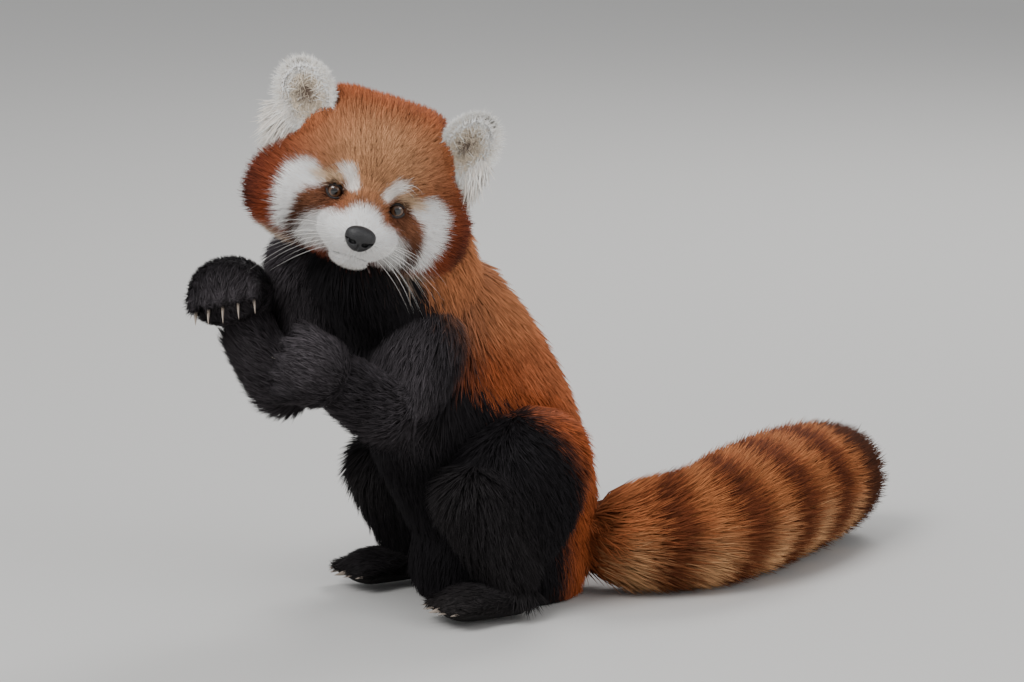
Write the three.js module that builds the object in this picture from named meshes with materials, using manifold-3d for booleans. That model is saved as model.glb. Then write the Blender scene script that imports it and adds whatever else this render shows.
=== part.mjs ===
// A red panda sitting up with both forepaws raised, life-size, as a museum model.
// Millimetres, +Z up. The origin is the middle of the flat under its rump, on the floor.
// The face looks along -Y, its left side is towards +X, and the tail lies back to the right.

import * as THREE from "three";
import { mergeVertices } from "three/addons/utils/BufferGeometryUtils.js";
import Module from "manifold-3d";

const wasm = await Module();
wasm.setup();
const { Manifold } = wasm;

// Driving sizes
const GAP = 0.3; // left between two nodes that meet
const COAT_BODY = 7; // how far the body's core lies under the tips of its coat
const COAT_LIMB = 4.5;
const COAT_TAIL = 13;
const COAT_NECK = 5;
const HIP_YAW = 60; // degrees that the trunk is turned to the face's right
const UP = new THREE.Vector3(0, 0, 1);

// Small helpers for vectors and repeatable chance
const vec = (x, y, z) => new THREE.Vector3(x, y, z);
const blend = (a, b, t) => a + (b - a) * t;
const rad = THREE.MathUtils.degToRad;

function chance(seed) {
  let state = seed;
  return () => {
    state = (state * 1664525 + 1013904223) % 4294967296;
    return state / 4294967296;
  };
}

function perpendicular(v, to) {
  return v.clone().addScaledVector(to, -v.dot(to)).normalize();
}

// The trunk's own directions, level with the floor
const FORWARD = vec(-Math.sin(rad(HIP_YAW)), -Math.cos(rad(HIP_YAW)), 0);
const LEFT = UP.clone().cross(FORWARD).normalize();

// Turns a closed three.js geometry into a solid
function solidOf(geometry) {
  const bare = geometry.clone();
  bare.deleteAttribute("normal");
  bare.deleteAttribute("uv");
  const merged = mergeVertices(bare, 1e-4);
  return new Manifold(
    new wasm.Mesh({
      numProp: 3,
      vertProperties: new Float32Array(merged.attributes.position.array),
      triVerts: new Uint32Array(merged.index.array),
    }),
  );
}

function geometryOf(solid) {
  const mesh = solid.getMesh();
  const position = new Float32Array(mesh.numVert * 3);
  for (let i = 0; i < mesh.numVert; i++) {
    position.set(mesh.vertProperties.subarray(i * mesh.numProp, i * mesh.numProp + 3), i * 3);
  }
  return new THREE.BufferGeometry()
    .setAttribute("position", new THREE.BufferAttribute(position, 3))
    .setIndex(new THREE.BufferAttribute(mesh.triVerts, 1))
    .toNonIndexed();
}

function largestOf(solid) {
  const bodies = solid.decompose();
  return bodies.reduce((best, b) => (b.volume() > best.volume() ? b : best));
}

// A form that follows a path: an oval section, its half width along "side", closed by round ends.
// stations are rows of x, y, z, half width, half depth.
class Limb {
  constructor(stations, side, { rings = 14, sides = 16, coat = 0, ends = [1, 1] } = {}) {
    this.coat = coat;
    this.path = new THREE.CatmullRomCurve3(stations.map(([x, y, z]) => vec(x, y, z)), false, "centripetal");
    const sizes = stations.map(([, , , wide, deep]) => vec(wide, deep, 0));
    this.sizes = new THREE.CatmullRomCurve3(sizes, false, "catmullrom", 0.5);
    this.side = side.clone().normalize();
    this.rings = rings;
    this.sides = sides;
    this.length = this.path.getLength();
    this.ends = ends; // how long each round end is, as a share of the half width there
  }

  // The frame and half sizes at a share of the path's length
  at(share, grow = 0) {
    const t = this.path.getUtoTmapping(THREE.MathUtils.clamp(share, 0, 1));
    const centre = this.path.getPoint(t);
    const along = this.path.getTangent(t).normalize();
    const side = perpendicular(this.side, along);
    const front = along.clone().cross(side).normalize();
    const size = this.sizes.getPoint(t);
    return { centre, along, side, front, wide: size.x - this.coat + grow, deep: size.y - this.coat + grow };
  }

  roundness(distance, endLength) {
    if (distance >= endLength) return 1;
    const x = 1 - Math.max(distance, 0) / endLength;
    return Math.sqrt(Math.max(0, 1 - x * x));
  }

  // A point on the surface: share of the length, angle round from "side" towards "front"
  surface(share, angle, grow = 0) {
    const f = this.at(share, grow);
    const reach = this.length * share;
    const firstEnd = this.at(0).wide * this.ends[0];
    const lastEnd = this.at(1).wide * this.ends[1];
    const round = this.roundness(reach, firstEnd) * this.roundness(this.length - reach, lastEnd);
    const point = f.centre
      .clone()
      .addScaledVector(f.side, f.wide * round * Math.cos(angle))
      .addScaledVector(f.front, f.deep * round * Math.sin(angle));
    const out = f.side
      .clone()
      .multiplyScalar(Math.cos(angle) / f.wide)
      .addScaledVector(f.front, Math.sin(angle) / f.deep)
      .normalize();
    return { point, out, along: f.along };
  }

  // The row's place along the path: close rows on the round ends and even ones between them
  rowShare(row) {
    const capRows = this.rings > 8 ? 3 : 2;
    const firstEnd = (this.at(0).wide * this.ends[0]) / this.length;
    const lastEnd = (this.at(1).wide * this.ends[1]) / this.length;
    if (row <= capRows) return firstEnd * (1 - Math.cos((row / capRows) * (Math.PI / 2)));
    if (row >= this.rings - capRows) {
      return 1 - lastEnd * (1 - Math.cos(((this.rings - row) / capRows) * (Math.PI / 2)));
    }
    return blend(firstEnd, 1 - lastEnd, (row - capRows) / (this.rings - 2 * capRows));
  }

  solid(grow = 0) {
    const ball = new THREE.SphereGeometry(1, this.sides, this.rings);
    const place = ball.attributes.position;
    for (let i = 0; i < place.count; i++) {
      const fromPole = Math.acos(THREE.MathUtils.clamp(place.getY(i), -1, 1));
      const row = Math.round((fromPole / Math.PI) * this.rings);
      const share = this.rowShare(row);
      const isPole = row === 0 || row === this.rings;
      const angle = isPole ? 0 : Math.atan2(place.getZ(i), place.getX(i));
      const { point, along } = this.surface(share, angle, grow);
      if (isPole) point.copy(this.at(share).centre);
      if (row === 0) point.addScaledVector(along, -grow);
      if (row === this.rings) point.addScaledVector(along, grow);
      place.setXYZ(i, point.x, point.y, point.z);
    }
    return solidOf(ball);
  }

  // Whether a point lies inside the form grown by a margin
  holds(point, margin = 0) {
    if (!this.samples) {
      this.samples = Array.from({ length: 25 }, (_, i) => ({ share: i / 24, ...this.at(i / 24) }));
    }
    return this.samples.some((f) => {
      const offset = point.clone().sub(f.centre);
      const a = offset.dot(f.side) / (f.wide + margin);
      const b = offset.dot(f.front) / (f.deep + margin);
      const c = offset.dot(f.along) / (this.length / 24 + margin);
      return a * a + b * b + c * c < 1;
    });
  }
}

// One flat lock of hair: a three-sided blade with a ridge, sunk at its root, bent along its lie.
// at: root point on the surface, out: surface normal, lie: the way the hair runs,
// lift and settle: how steeply it leaves the surface and ends.
const WIDEST = 0.35; // share of a lock's length where it is widest

function lock({ at, out, lie, length, width, thick, lift, settle, sink, grow }) {
  const flat = perpendicular(lie, out);
  const start = flat.clone().multiplyScalar(Math.cos(rad(lift))).addScaledVector(out, Math.sin(rad(lift)));
  const end = flat.clone().multiplyScalar(Math.cos(rad(settle))).addScaledVector(out, Math.sin(rad(settle)));
  const root = at.clone().addScaledVector(start, -sink);
  const whole = length + sink;
  const cone = new THREE.ConeGeometry(1, 1, 3, 2);
  const place = cone.attributes.position;
  for (let i = 0; i < place.count; i++) {
    const t = place.getY(i) + 0.5;
    const bend = end.clone().sub(start).multiplyScalar(0.5 * t * t * whole);
    const centre = root.clone().addScaledVector(start, t * whole).add(bend);
    const along = start.clone().lerp(end, t).normalize();
    const rise = perpendicular(out, along);
    const side = along.clone().cross(rise).normalize();
    const x = place.getX(i);
    const z = place.getZ(i);
    const reach = Math.hypot(x, z);
    if (reach > 1e-6) {
      const fromWidest = (t - WIDEST) / (1.07 - WIDEST);
      const taper = fromWidest < 0 ? blend(0.75, 1, t / WIDEST) : Math.sqrt(1 - fromWidest ** 2);
      const slim = blend(1, 0.35, t);
      // The thin edges are pushed out the furthest, so that the blade grows by the same gap all over
      const widen = Math.sign(Math.round(x * 9)) * 4 * grow;
      const thicken = (z > 0 ? 1.4 : -0.5) * grow;
      centre.addScaledVector(side, (x / reach) * (width / 2) * taper * 1.15 + widen);
      centre.addScaledVector(rise, (z / reach) * (thick / 1.5) * slim + thicken);
      if (t < 0.01) centre.addScaledVector(along, -grow);
    } else if (t > 0.99) {
      centre.addScaledVector(along, grow * 4);
    }
    place.setXYZ(i, centre.x, centre.y, centre.z);
  }
  return solidOf(cone);
}

// A claw: a slim curved horn
function claw(at, start, end, length, radius, grow = 0) {
  const cone = new THREE.ConeGeometry(1, 1, 3, 2);
  const place = cone.attributes.position;
  const first = start.clone().normalize();
  const last = end.clone().normalize();
  const cross = Math.abs(first.dot(last)) > 0.999 ? vec(0, 1, 0.3) : first.clone().cross(last);
  for (let i = 0; i < place.count; i++) {
    const t = place.getY(i) + 0.5;
    const along = first.clone().lerp(last, t).normalize();
    const centre = at
      .clone()
      .addScaledVector(first, t * length)
      .addScaledVector(last.clone().sub(first), 0.5 * t * t * length);
    const rise = perpendicular(cross, along);
    const side = along.clone().cross(rise);
    const reach = Math.hypot(place.getX(i), place.getZ(i));
    if (reach > 1e-6) {
      const r = radius * (1 - 0.85 * t) + grow;
      centre.addScaledVector(side, (place.getX(i) / reach) * r);
      centre.addScaledVector(rise, (place.getZ(i) / reach) * r);
    }
    place.setXYZ(i, centre.x, centre.y, centre.z);
  }
  return solidOf(cone);
}

// The head's own frame: s towards its left, f out of the face, u up. Rolled as it is held.
const EYE_LINE = vec(-87.1, -126, 289.4); // midway between the eyes
const EYES_AHEAD = 38; // from the head's centre to the eye line
const HEAD_ROLL = 18.35; // degrees, its left side lower
const headForward = vec(0.07, -0.997, -0.03).normalize();
const headLeft = perpendicular(vec(Math.cos(rad(HEAD_ROLL)), 0, -Math.sin(rad(HEAD_ROLL))), headForward);
const headUp = headForward.clone().cross(headLeft).normalize();
const headCentre = EYE_LINE.clone().addScaledVector(headForward, -EYES_AHEAD);

function alongHead(s, f, u) {
  const sideways = headLeft.clone().multiplyScalar(s);
  return sideways.addScaledVector(headForward, f).addScaledVector(headUp, u);
}

function inHead(s, f, u) {
  return alongHead(s, f, u).add(headCentre);
}

// The skull's rounded forms, as ovals in the head's frame: centre, half sizes
const HEAD_FORMS = [
  { at: [0, -2, 7], half: [64, 50, 57] }, // cranium
  { at: [25, -4, 32], half: [28, 36, 30] }, // left temple
  { at: [-25, -4, 32], half: [28, 36, 30] }, // right temple
  { at: [38, 6, -14], half: [31, 33, 31] }, // left cheek
  { at: [-38, 6, -14], half: [31, 33, 31] }, // right cheek
  { at: [0, 26, 18], half: [41, 23, 27] }, // brow
  { at: [0, 50, -20], half: [25, 30, 17] }, // muzzle
  { at: [0, 42, -6], half: [15, 24, 13] }, // bridge of the nose
  { at: [0, 40, -35], half: [16, 23, 10] }, // chin
];
const HEAD_SOFTNESS = 9; // how far the forms melt into one another

// Distance to the head's surface, negative inside
function headDistance(s, f, u) {
  return HEAD_FORMS.reduce((least, { at, half }) => {
    const p = [(s - at[0]) / half[0], (f - at[1]) / half[1], (u - at[2]) / half[2]];
    const k0 = Math.hypot(...p);
    const k1 = Math.hypot(p[0] / half[0], p[1] / half[1], p[2] / half[2]);
    const d = (k0 * (k0 - 1)) / Math.max(k1, 1e-9);
    const mix = Math.max(HEAD_SOFTNESS - Math.abs(least - d), 0) / HEAD_SOFTNESS;
    return Math.min(least, d) - (mix * mix * HEAD_SOFTNESS) / 4;
  }, 1000);
}

// The point where a ray from inside the head leaves it
const HEAD_INSIDE = [0, 16, -8]; // every part of the surface is in sight from here
function headSurface(ds, df, du, grow = 0) {
  const size = Math.hypot(ds, df, du);
  const d = [ds / size, df / size, du / size];
  let near = 5;
  let far = 120;
  for (let i = 0; i < 32; i++) {
    const mid = (near + far) / 2;
    const value = headDistance(...d.map((step, k) => HEAD_INSIDE[k] + step * mid));
    if (value < grow) near = mid;
    else far = mid;
  }
  return d.map((step, k) => HEAD_INSIDE[k] + step * near);
}

function headNormal(s, f, u) {
  const e = 0.5;
  const n = [
    headDistance(s + e, f, u) - headDistance(s - e, f, u),
    headDistance(s, f + e, u) - headDistance(s, f - e, u),
    headDistance(s, f, u + e) - headDistance(s, f, u - e),
  ];
  return alongHead(...n).normalize();
}

function skullSolid(grow = 0) {
  const ball = new THREE.SphereGeometry(1, 24, 18);
  const place = ball.attributes.position;
  for (let i = 0; i < place.count; i++) {
    // The ball's pole is the way the face looks, so its rows are closest round the muzzle
    const p = headSurface(place.getX(i), place.getY(i), -place.getZ(i), grow);
    const w = inHead(...p);
    place.setXYZ(i, w.x, w.y, w.z);
  }
  return solidOf(ball);
}

// An oval body, its half sizes along the head's own directions turned by the given angles
function headOval(at, half, { roll = 0, yaw = 0, pitch = 0, sides = 14, rings = 10, grow = 0 } = {}) {
  const ball = new THREE.SphereGeometry(1, sides, rings);
  ball.scale(half[0] + grow, half[1] + grow, half[2] + grow);
  ball.rotateX(rad(pitch));
  ball.rotateZ(rad(yaw));
  ball.rotateY(rad(roll));
  const frame = new THREE.Matrix4().makeBasis(headLeft, headForward, headUp);
  frame.setPosition(headCentre);
  // s, f, u is a left-handed set, so the ball is mirrored and its faces are turned back
  ball.translate(...at);
  ball.applyMatrix4(frame);
  return turned(ball, frame.determinant() < 0);
}

function turned(geometry, isMirrored) {
  if (isMirrored) {
    const index = geometry.index.array;
    for (let i = 0; i < index.length; i += 3) [index[i + 1], index[i + 2]] = [index[i + 2], index[i + 1]];
  }
  return solidOf(geometry);
}

// Eyes, and the lids that hold them
const EYE_APART = 21;
const EYE_SINK = 5.2; // how far the ball's centre lies behind the eye line
const EYE_RADIUS = 7.6;
const LID_THICK = 1.5;
const LID_OPEN = [6.8, 5.6]; // half width and half height of the opening

function eyeAt(sideSign) {
  return [sideSign * EYE_APART, EYES_AHEAD - EYE_SINK, 0];
}

function eyeSolid(sideSign, grow = 0) {
  return headOval(eyeAt(sideSign), [EYE_RADIUS, EYE_RADIUS, EYE_RADIUS], { sides: 11, rings: 8, grow });
}

function lidSolids(sideSign) {
  const at = eyeAt(sideSign);
  const reach = EYE_RADIUS + LID_THICK;
  const cover = headOval(at, [reach + 1.2, reach, reach], { sides: 10, rings: 6 });
  const ahead = [at[0] + sideSign * 1.5, at[1] + 9, at[2]];
  const half = [LID_OPEN[0], 9, LID_OPEN[1]];
  const opening = headOval(ahead, half, { roll: sideSign * 12, sides: 10, rings: 6 });
  return { cover, opening };
}

// The nose pad, with its nostrils and the groove between them
const NOSE_AT = [0, 78, -19];
const NOSE_HALF = [10.2, 6.5, 8.8];

function noseSolid(grow = 0) {
  let pad = headOval(NOSE_AT, NOSE_HALF, { pitch: -12, sides: 12, rings: 7, grow });
  if (grow > 0) return pad;
  const [s, f, u] = NOSE_AT;
  for (const sign of [-1, 1]) {
    pad = pad.subtract(
      headOval([s + sign * 4.4, f + 6.1, u - 1.6], [2.3, 3.4, 1.5], { roll: sign * 24, sides: 6, rings: 4 }),
    );
  }
  return pad.subtract(headOval([s, f + 6.4, u - 6.5], [0.6, 2.4, 4.6], { sides: 5, rings: 4 }));
}

// The line of the mouth, cut as a groove between two lips
const MOUTH_LINE = [
  [-27, 52, -36],
  [-20, 62, -33.5],
  [-11, 71, -34.5],
  [0, 76, -31],
  [11, 71, -34.5],
  [20, 62, -33.5],
  [27, 52, -36],
];

// The point of the skull's surface straight out from a mouth point
function onMuzzle([s, f, u], outBy = 0) {
  const p = headSurface(s - HEAD_INSIDE[0], f - HEAD_INSIDE[1], u - HEAD_INSIDE[2], outBy);
  return inHead(...p);
}

function mouthStroke(lower, outBy, radius) {
  const rows = MOUTH_LINE.map(([s, f, u], i) => {
    const p = onMuzzle([s, f, u - lower], outBy);
    const r = i === 0 || i === MOUTH_LINE.length - 1 ? radius * 0.6 : radius;
    return [p.x, p.y, p.z, r, r];
  });
  return new Limb(rows, headUp, { rings: 7, sides: 4 }).solid();
}

// Ears: a rounded cup open to the front, with the white tuft at its outer root
const EARS = {
  left: { sign: 1, at: [55.5, 8, 50], lean: 18 },
  right: { sign: -1, at: [-57, 8, 51], lean: 27 },
};
const EAR_HALF = [19.5, 8.5, 24.5];
const EAR_CUP_HALF = [13.5, 9, 17.5];
const EAR_OPEN = 18; // degrees that the cup opens away from the face

function earSolid({ sign, at, lean }, grow = 0) {
  const turn = { roll: sign * lean, yaw: -sign * EAR_OPEN, sides: 12, rings: 9 };
  const blade = headOval(at, EAR_HALF, { ...turn, grow });
  if (grow > 0) return blade;
  const open = rad(EAR_OPEN);
  const cupAt = [at[0] + sign * 8 * Math.sin(open), at[1] + 8 * Math.cos(open), at[2] + 2];
  return blade.subtract(headOval(cupAt, EAR_CUP_HALF, { ...turn, sides: 10, rings: 7 }));
}

const EAR_TUFT_LOCKS = 6;
const EAR_TUFT_SHAPE = { width: 11, thick: 3.4, lift: 12, settle: -8, sink: 7 };

function earTuft({ sign, at: [s, f, u] }, grow = 0) {
  const next = chance(sign > 0 ? 11 : 12);
  const made = [];
  for (let i = 0; i < EAR_TUFT_LOCKS; i++) {
    const t = i / (EAR_TUFT_LOCKS - 1);
    const at = inHead(s + sign * blend(13, 7, t), f + blend(-3, 4, (i % 3) / 2), u - blend(2, 27, t));
    const fall = rad(blend(-8, -70, t) + (next() - 0.5) * 10);
    const lie = alongHead(sign * Math.cos(fall), -0.15, Math.sin(fall));
    const out = alongHead(sign * 0.5, i % 2 ? -0.8 : 0.85, 0.2).normalize();
    const length = blend(20, 30, t) + next() * 6;
    made.push(lock({ ...EAR_TUFT_SHAPE, at, out, lie, length, grow }));
  }
  return made;
}

// Every limb and length of the body, from the camera's side and its opposite
const TORSO = new Limb(
  [
    [0, 0, -22, 56, 56],
    [0, 0, 22, 64, 68],
    [0, 0, 68, 64, 72],
    [-13, -7, 105, 62, 76],
    [-28, -15, 140, 60, 76],
    [-42, -25, 170, 58, 72],
    [-55, -35, 196, 54, 66],
    [-68, -46, 226, 42, 50],
  ],
  LEFT,
  { rings: 16, sides: 24, coat: COAT_BODY, ends: [0.6, 0.7] },
);

const NECK = new Limb(
  [
    [-58, -38, 196, 50, 56],
    [-66, -50, 224, 52, 58],
    [-76, -62, 250, 51, 55],
    [-84, -74, 276, 46, 46],
  ],
  LEFT,
  { rings: 8, sides: 16, coat: COAT_NECK, ends: [0.7, 0.7] },
);

const TAIL_PATH = [
  [34, 20, 37, 34, 35],
  [84, 2, 39, 39, 39],
  [128, 14, 41, 43, 43],
  [163, 52, 44, 46, 46],
  [193, 102, 46, 46, 46],
  [217, 148, 45, 44, 44],
  [235, 183, 43, 39, 39],
  [244, 201, 41, 32, 32],
];
const TAIL = new Limb(TAIL_PATH, vec(0, 0, 1), { rings: 24, sides: 12, coat: COAT_TAIL, ends: [0.6, 1.1] });
const TAIL_CUTS = [0.3, 0.55, 0.79]; // shares of its length where it is divided

const TRUNK_SIDE = vec(0.35, -0.94, 0);
const LEFT_ARM = {
  upper: new Limb(
    [
      [-42, -56, 210, 25, 28],
      [-50, -70, 190, 32, 36],
      [-58, -80, 165, 30, 33],
      [-64, -86, 142, 27, 28],
    ],
    TRUNK_SIDE,
    { rings: 9, sides: 12, coat: COAT_LIMB },
  ),
  fore: new Limb(
    [
      [-62, -83, 142, 27, 27],
      [-77, -101, 148, 28, 28],
      [-92, -117, 159, 25, 26],
      [-107, -129, 171, 22, 23],
    ],
    TRUNK_SIDE,
    { rings: 9, sides: 12, coat: COAT_LIMB },
  ),
  paw: new Limb(
    [
      [-102, -126, 167, 22, 21],
      [-114, -132, 175, 27, 23],
      [-128, -137, 182, 28, 23],
      [-140, -138, 186, 23, 19],
    ],
    vec(-0.3, 0, 1),
    { rings: 8, sides: 11, coat: 2 },
  ),
};

const RIGHT_ARM = {
  upper: new Limb(
    [
      [-113, -14, 254, 37, 38],
      [-121, -14, 224, 39, 41],
      [-127, -20, 176, 33, 35],
      [-132, -31, 144, 26, 27],
    ],
    vec(0.5, -0.8, 0.3),
    { rings: 9, sides: 12, coat: COAT_LIMB },
  ),
  fore: new Limb(
    [
      [-131, -30, 142, 26, 26],
      [-146, -39, 156, 27, 27],
      [-160, -47, 176, 25, 25],
      [-172, -54, 198, 22, 22],
    ],
    vec(0.5, -0.8, 0.3),
    { rings: 9, sides: 12, coat: COAT_LIMB },
  ),
  paw: new Limb(
    [
      [-171, -51, 196, 23, 21],
      [-177, -57, 213, 30, 26],
      [-182, -72, 222, 30, 25],
      [-185, -86, 222, 24, 20],
    ],
    vec(1, 0, 0.15),
    { rings: 8, sides: 11, coat: 2 },
  ),
};

// The near hind leg's stations; the far leg is their mirror image, a little closer in
const THIGH_ROWS = [
  [40, -36, 70, 38, 54],
  [26, -48, 78, 44, 64],
  [4, -66, 94, 42, 60],
  [-18, -82, 109, 36, 44],
];
const SHIN_ROWS = [
  [-24, -86, 106, 30, 32],
  [-14, -88, 80, 29, 32],
  [-1, -84, 50, 26, 29],
  [11, -78, 22, 23, 26],
];
const FOOT_ROWS = [
  [21, -72, 15, 17, 16],
  [1, -84, 15, 20, 16],
  [-20, -96, 14, 22, 15],
  [-39, -107, 12, 21, 13],
];
const LEG_INWARD = 14;

function mirrored(rows) {
  return rows.map(([x, y, z, wide, deep]) => {
    const p = vec(x, y, z);
    p.addScaledVector(LEFT, LEG_INWARD - 2 * p.dot(LEFT));
    return [p.x, p.y, p.z, wide, deep];
  });
}

function leg(far) {
  const rows = (r) => (far ? mirrored(r) : r);
  return {
    thigh: new Limb(rows(THIGH_ROWS), LEFT, { rings: 10, sides: 16, coat: COAT_BODY, ends: [0.9, 1] }),
    shin: new Limb(rows(SHIN_ROWS), LEFT, { rings: 9, sides: 12, coat: COAT_LIMB }),
    foot: new Limb(rows(FOOT_ROWS), LEFT, { rings: 8, sides: 10, coat: 1.5 }),
  };
}
const LEFT_LEG = leg(false);
const RIGHT_LEG = leg(true);

// Digits: short round forms, each with a claw, fanned out over the end of a paw or foot.
// curl is the way they bend, in shares of the paw's own side, front and length directions.
const CLAW_RADIUS = 1.9;
const CLAW_SUNK = 3; // how deep a claw is rooted in its toe

function digits(paw, { from, apart, reach, curl, fan, radius, clawLength }, grow = 0) {
  const f = paw.at(from);
  const last = paw.at(1);
  const ahead = last.centre.clone().sub(f.centre).normalize();
  const bend = vec(0, 0, 0)
    .addScaledVector(f.side, curl[0])
    .addScaledVector(f.front, curl[1])
    .addScaledVector(ahead, curl[2]);
  return [-2, -1, 0, 1, 2].flatMap((i) => {
    const back = -1.1 * i * i;
    const root = f.centre.clone().addScaledVector(f.side, i * apart * 0.9).addScaledVector(ahead, back);
    const way = ahead.clone().addScaledVector(f.side, (i * fan) / 2).normalize();
    const tip = root.clone().addScaledVector(way, reach);
    const end = tip.clone().add(bend);
    const rows = [root, tip, end].map((p, k) => [p.x, p.y, p.z, radius - k * 0.5, radius - k * 0.5]);
    const toe = new Limb(rows, f.side, { rings: 5, sides: 5, coat: 0 }).solid(grow);
    const hang = bend.clone().normalize();
    const start = hang.clone().addScaledVector(way, 0.5).normalize();
    const base = end.clone().addScaledVector(start, -CLAW_SUNK);
    const hook = claw(base, start, hang, clawLength + CLAW_SUNK, CLAW_RADIUS, grow);
    return [toe, hook];
  });
}

const HAND = { fan: 0.35, clawLength: 9 };
const LEFT_DIGITS = { ...HAND, from: 0.55, apart: 9, reach: 18, curl: [0, 9, 3], radius: 7 };
const RIGHT_DIGITS = { ...HAND, from: 0.62, apart: 8.2, reach: 15, curl: [0, -11, 2], radius: 6.8 };
const FOOT_DIGITS = {
  from: 0.72,
  apart: 8.6,
  reach: 18,
  curl: [0, 0, 5],
  fan: 0.2,
  radius: 6.8,
  clawLength: 5,
};

// Rows of locks over a limb. shape is the locks' own form, before their sizes vary.
// against: they run back along the path. droop: how much they hang.
// keep() says whether a lock may grow at a root and its tip.
function coatOf(limb, { rows, round, from, to, seed, against = false, droop = 0, keep, shape }, grow = 0) {
  const next = chance(seed);
  const step = (2 * Math.PI) / round;
  const made = [];
  for (let r = 0; r < rows; r++) {
    for (let k = 0; k < round; k++) {
      const angle = step * (k + (r % 2) * 0.5 + (next() - 0.5) * 0.3);
      const share = blend(from, to, r / (rows - 1)) + ((next() - 0.5) * 0.4 * (to - from)) / rows;
      const { point: at, out, along } = limb.surface(share, angle);
      const lie = along.clone().multiplyScalar(against ? -1 : 1).addScaledVector(UP, -droop);
      lie.addScaledVector(out.clone().cross(along), (next() - 0.5) * 0.3);
      const size = 0.9 + next() * 0.2;
      const length = shape.length * size;
      const tip = at.clone().addScaledVector(perpendicular(lie, out), length * 0.9).addScaledVector(out, 4);
      if (!keep(at, tip)) continue;
      made.push(lock({ ...shape, at, out, lie, length, width: shape.width * size, grow }));
    }
  }
  return made;
}

const ALL_LIMBS = {
  torso: TORSO,
  neck: NECK,
  tail: TAIL,
  upper_left: LEFT_ARM.upper,
  fore_left: LEFT_ARM.fore,
  paw_left: LEFT_ARM.paw,
  upper_right: RIGHT_ARM.upper,
  fore_right: RIGHT_ARM.fore,
  paw_right: RIGHT_ARM.paw,
  thigh_left: LEFT_LEG.thigh,
  shin_left: LEFT_LEG.shin,
  foot_left: LEFT_LEG.foot,
  thigh_right: RIGHT_LEG.thigh,
  shin_right: RIGHT_LEG.shin,
  foot_right: RIGHT_LEG.foot,
};

function headHolds(point, margin) {
  const q = point.clone().sub(headCentre);
  return headDistance(q.dot(headLeft), q.dot(headForward), q.dot(headUp)) < margin;
}

// A test for the locks of some limbs: clear of every other limb, of the head and of the floor
function clearOf(own, { margin = 3, floor = 3 } = {}) {
  const others = Object.entries(ALL_LIMBS).filter(([name]) => !own.includes(name));
  return (root, tip) =>
    root.z > floor + 4 &&
    tip.z > floor &&
    !headHolds(root, margin) &&
    !headHolds(tip, 0) &&
    others.every(([, limb]) => !limb.holds(root, margin) && !limb.holds(tip, 0));
}

// The head's ruff: locks over the cheeks and nape that lie out, back and down
const RUFF_ROWS = 3;
const RUFF_LOCKS = 5; // in a row on each side
const RUFF_SHAPE = { width: 23, thick: 5.5, lift: 24, settle: 6, sink: 5 };

function ruff(grow = 0) {
  const next = chance(21);
  const made = [];
  const keep = clearOf([], { margin: 0, floor: 0 });
  for (const sign of [-1, 1]) {
    for (let row = 0; row < RUFF_ROWS; row++) {
      for (let k = 0; k < RUFF_LOCKS; k++) {
        const angle = rad(blend(30, -66, (k + (row % 2) * 0.5) / RUFF_LOCKS));
        const behind = blend(0.15, -0.75, row / (RUFF_ROWS - 1));
        const p = headSurface(sign * Math.cos(angle), behind, Math.sin(angle));
        const out = headNormal(...p);
        const fall = alongHead(sign * 0.35, -0.85, -0.55);
        const lie = fall.addScaledVector(alongHead(0, 0, 1), (next() - 0.5) * 0.3);
        const at = inHead(...p);
        const length = blend(20, 27, row / (RUFF_ROWS - 1)) + next() * 4;
        const tip = at.clone().addScaledVector(perpendicular(lie, out), length).addScaledVector(out, 5);
        if (keep(tip, tip)) made.push(lock({ ...RUFF_SHAPE, at, out, lie, length, grow }));
      }
    }
  }
  return made;
}

// Each node: its plain form, what is cut from or joined to it, and its locks.
// Earlier nodes hold their place, and later ones are cut clear of them.
const NODES = [];

function node(name, material, { core, coat = () => [], finish = (s) => s, floor = false }) {
  NODES.push({ name, material, core, coat, finish, floor });
}

const COLOURS = {
  rust: { color: 0x9c4a1f, roughness: 0.85 },
  black: { color: 0x17120f, roughness: 0.85 },
  face: { color: 0xb06a3a, roughness: 0.85 },
  ear: { color: 0xe6dccb, roughness: 0.85 },
  tailRing: { color: 0xa3592a, roughness: 0.85 },
  nose: { color: 0x1c1b1d, roughness: 0.45 },
  eye: { color: 0x120c08, roughness: 0.08 },
};

// The locks' forms on each stretch of the body
const TORSO_LOCKS = { length: 50, width: 38, thick: 7, lift: 27, settle: 6, sink: 6 };
const NECK_LOCKS = { length: 36, width: 36, thick: 6, lift: 22, settle: 4, sink: 6 };
const LIMB_LOCKS = { length: 30, width: 25, thick: 5, lift: 17, settle: 2, sink: 6 };
const THIGH_LOCKS = { length: 34, width: 35, thick: 6, lift: 16, settle: -4, sink: 6 };
const TAIL_LOCKS = { length: 48, width: 33, thick: 7, lift: 29, settle: 8, sink: 7 };

node("torso", "rust", {
  floor: true,
  core: (grow) => TORSO.solid(grow),
  coat: (grow) => {
    const keep = clearOf(["torso"], { margin: 6 });
    const rows = { rows: 6, round: 9, from: 0.22, to: 0.97, seed: 31 };
    return coatOf(TORSO, { ...rows, against: true, keep, shape: TORSO_LOCKS }, grow);
  },
});

node("neck", "rust", {
  core: (grow) => NECK.solid(grow),
  coat: (grow) => {
    const keep = clearOf(["neck", "torso"]);
    const rows = { rows: 2, round: 6, from: 0.4, to: 0.8, seed: 41 };
    return coatOf(NECK, { ...rows, against: true, keep, shape: NECK_LOCKS }, grow);
  },
});

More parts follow.
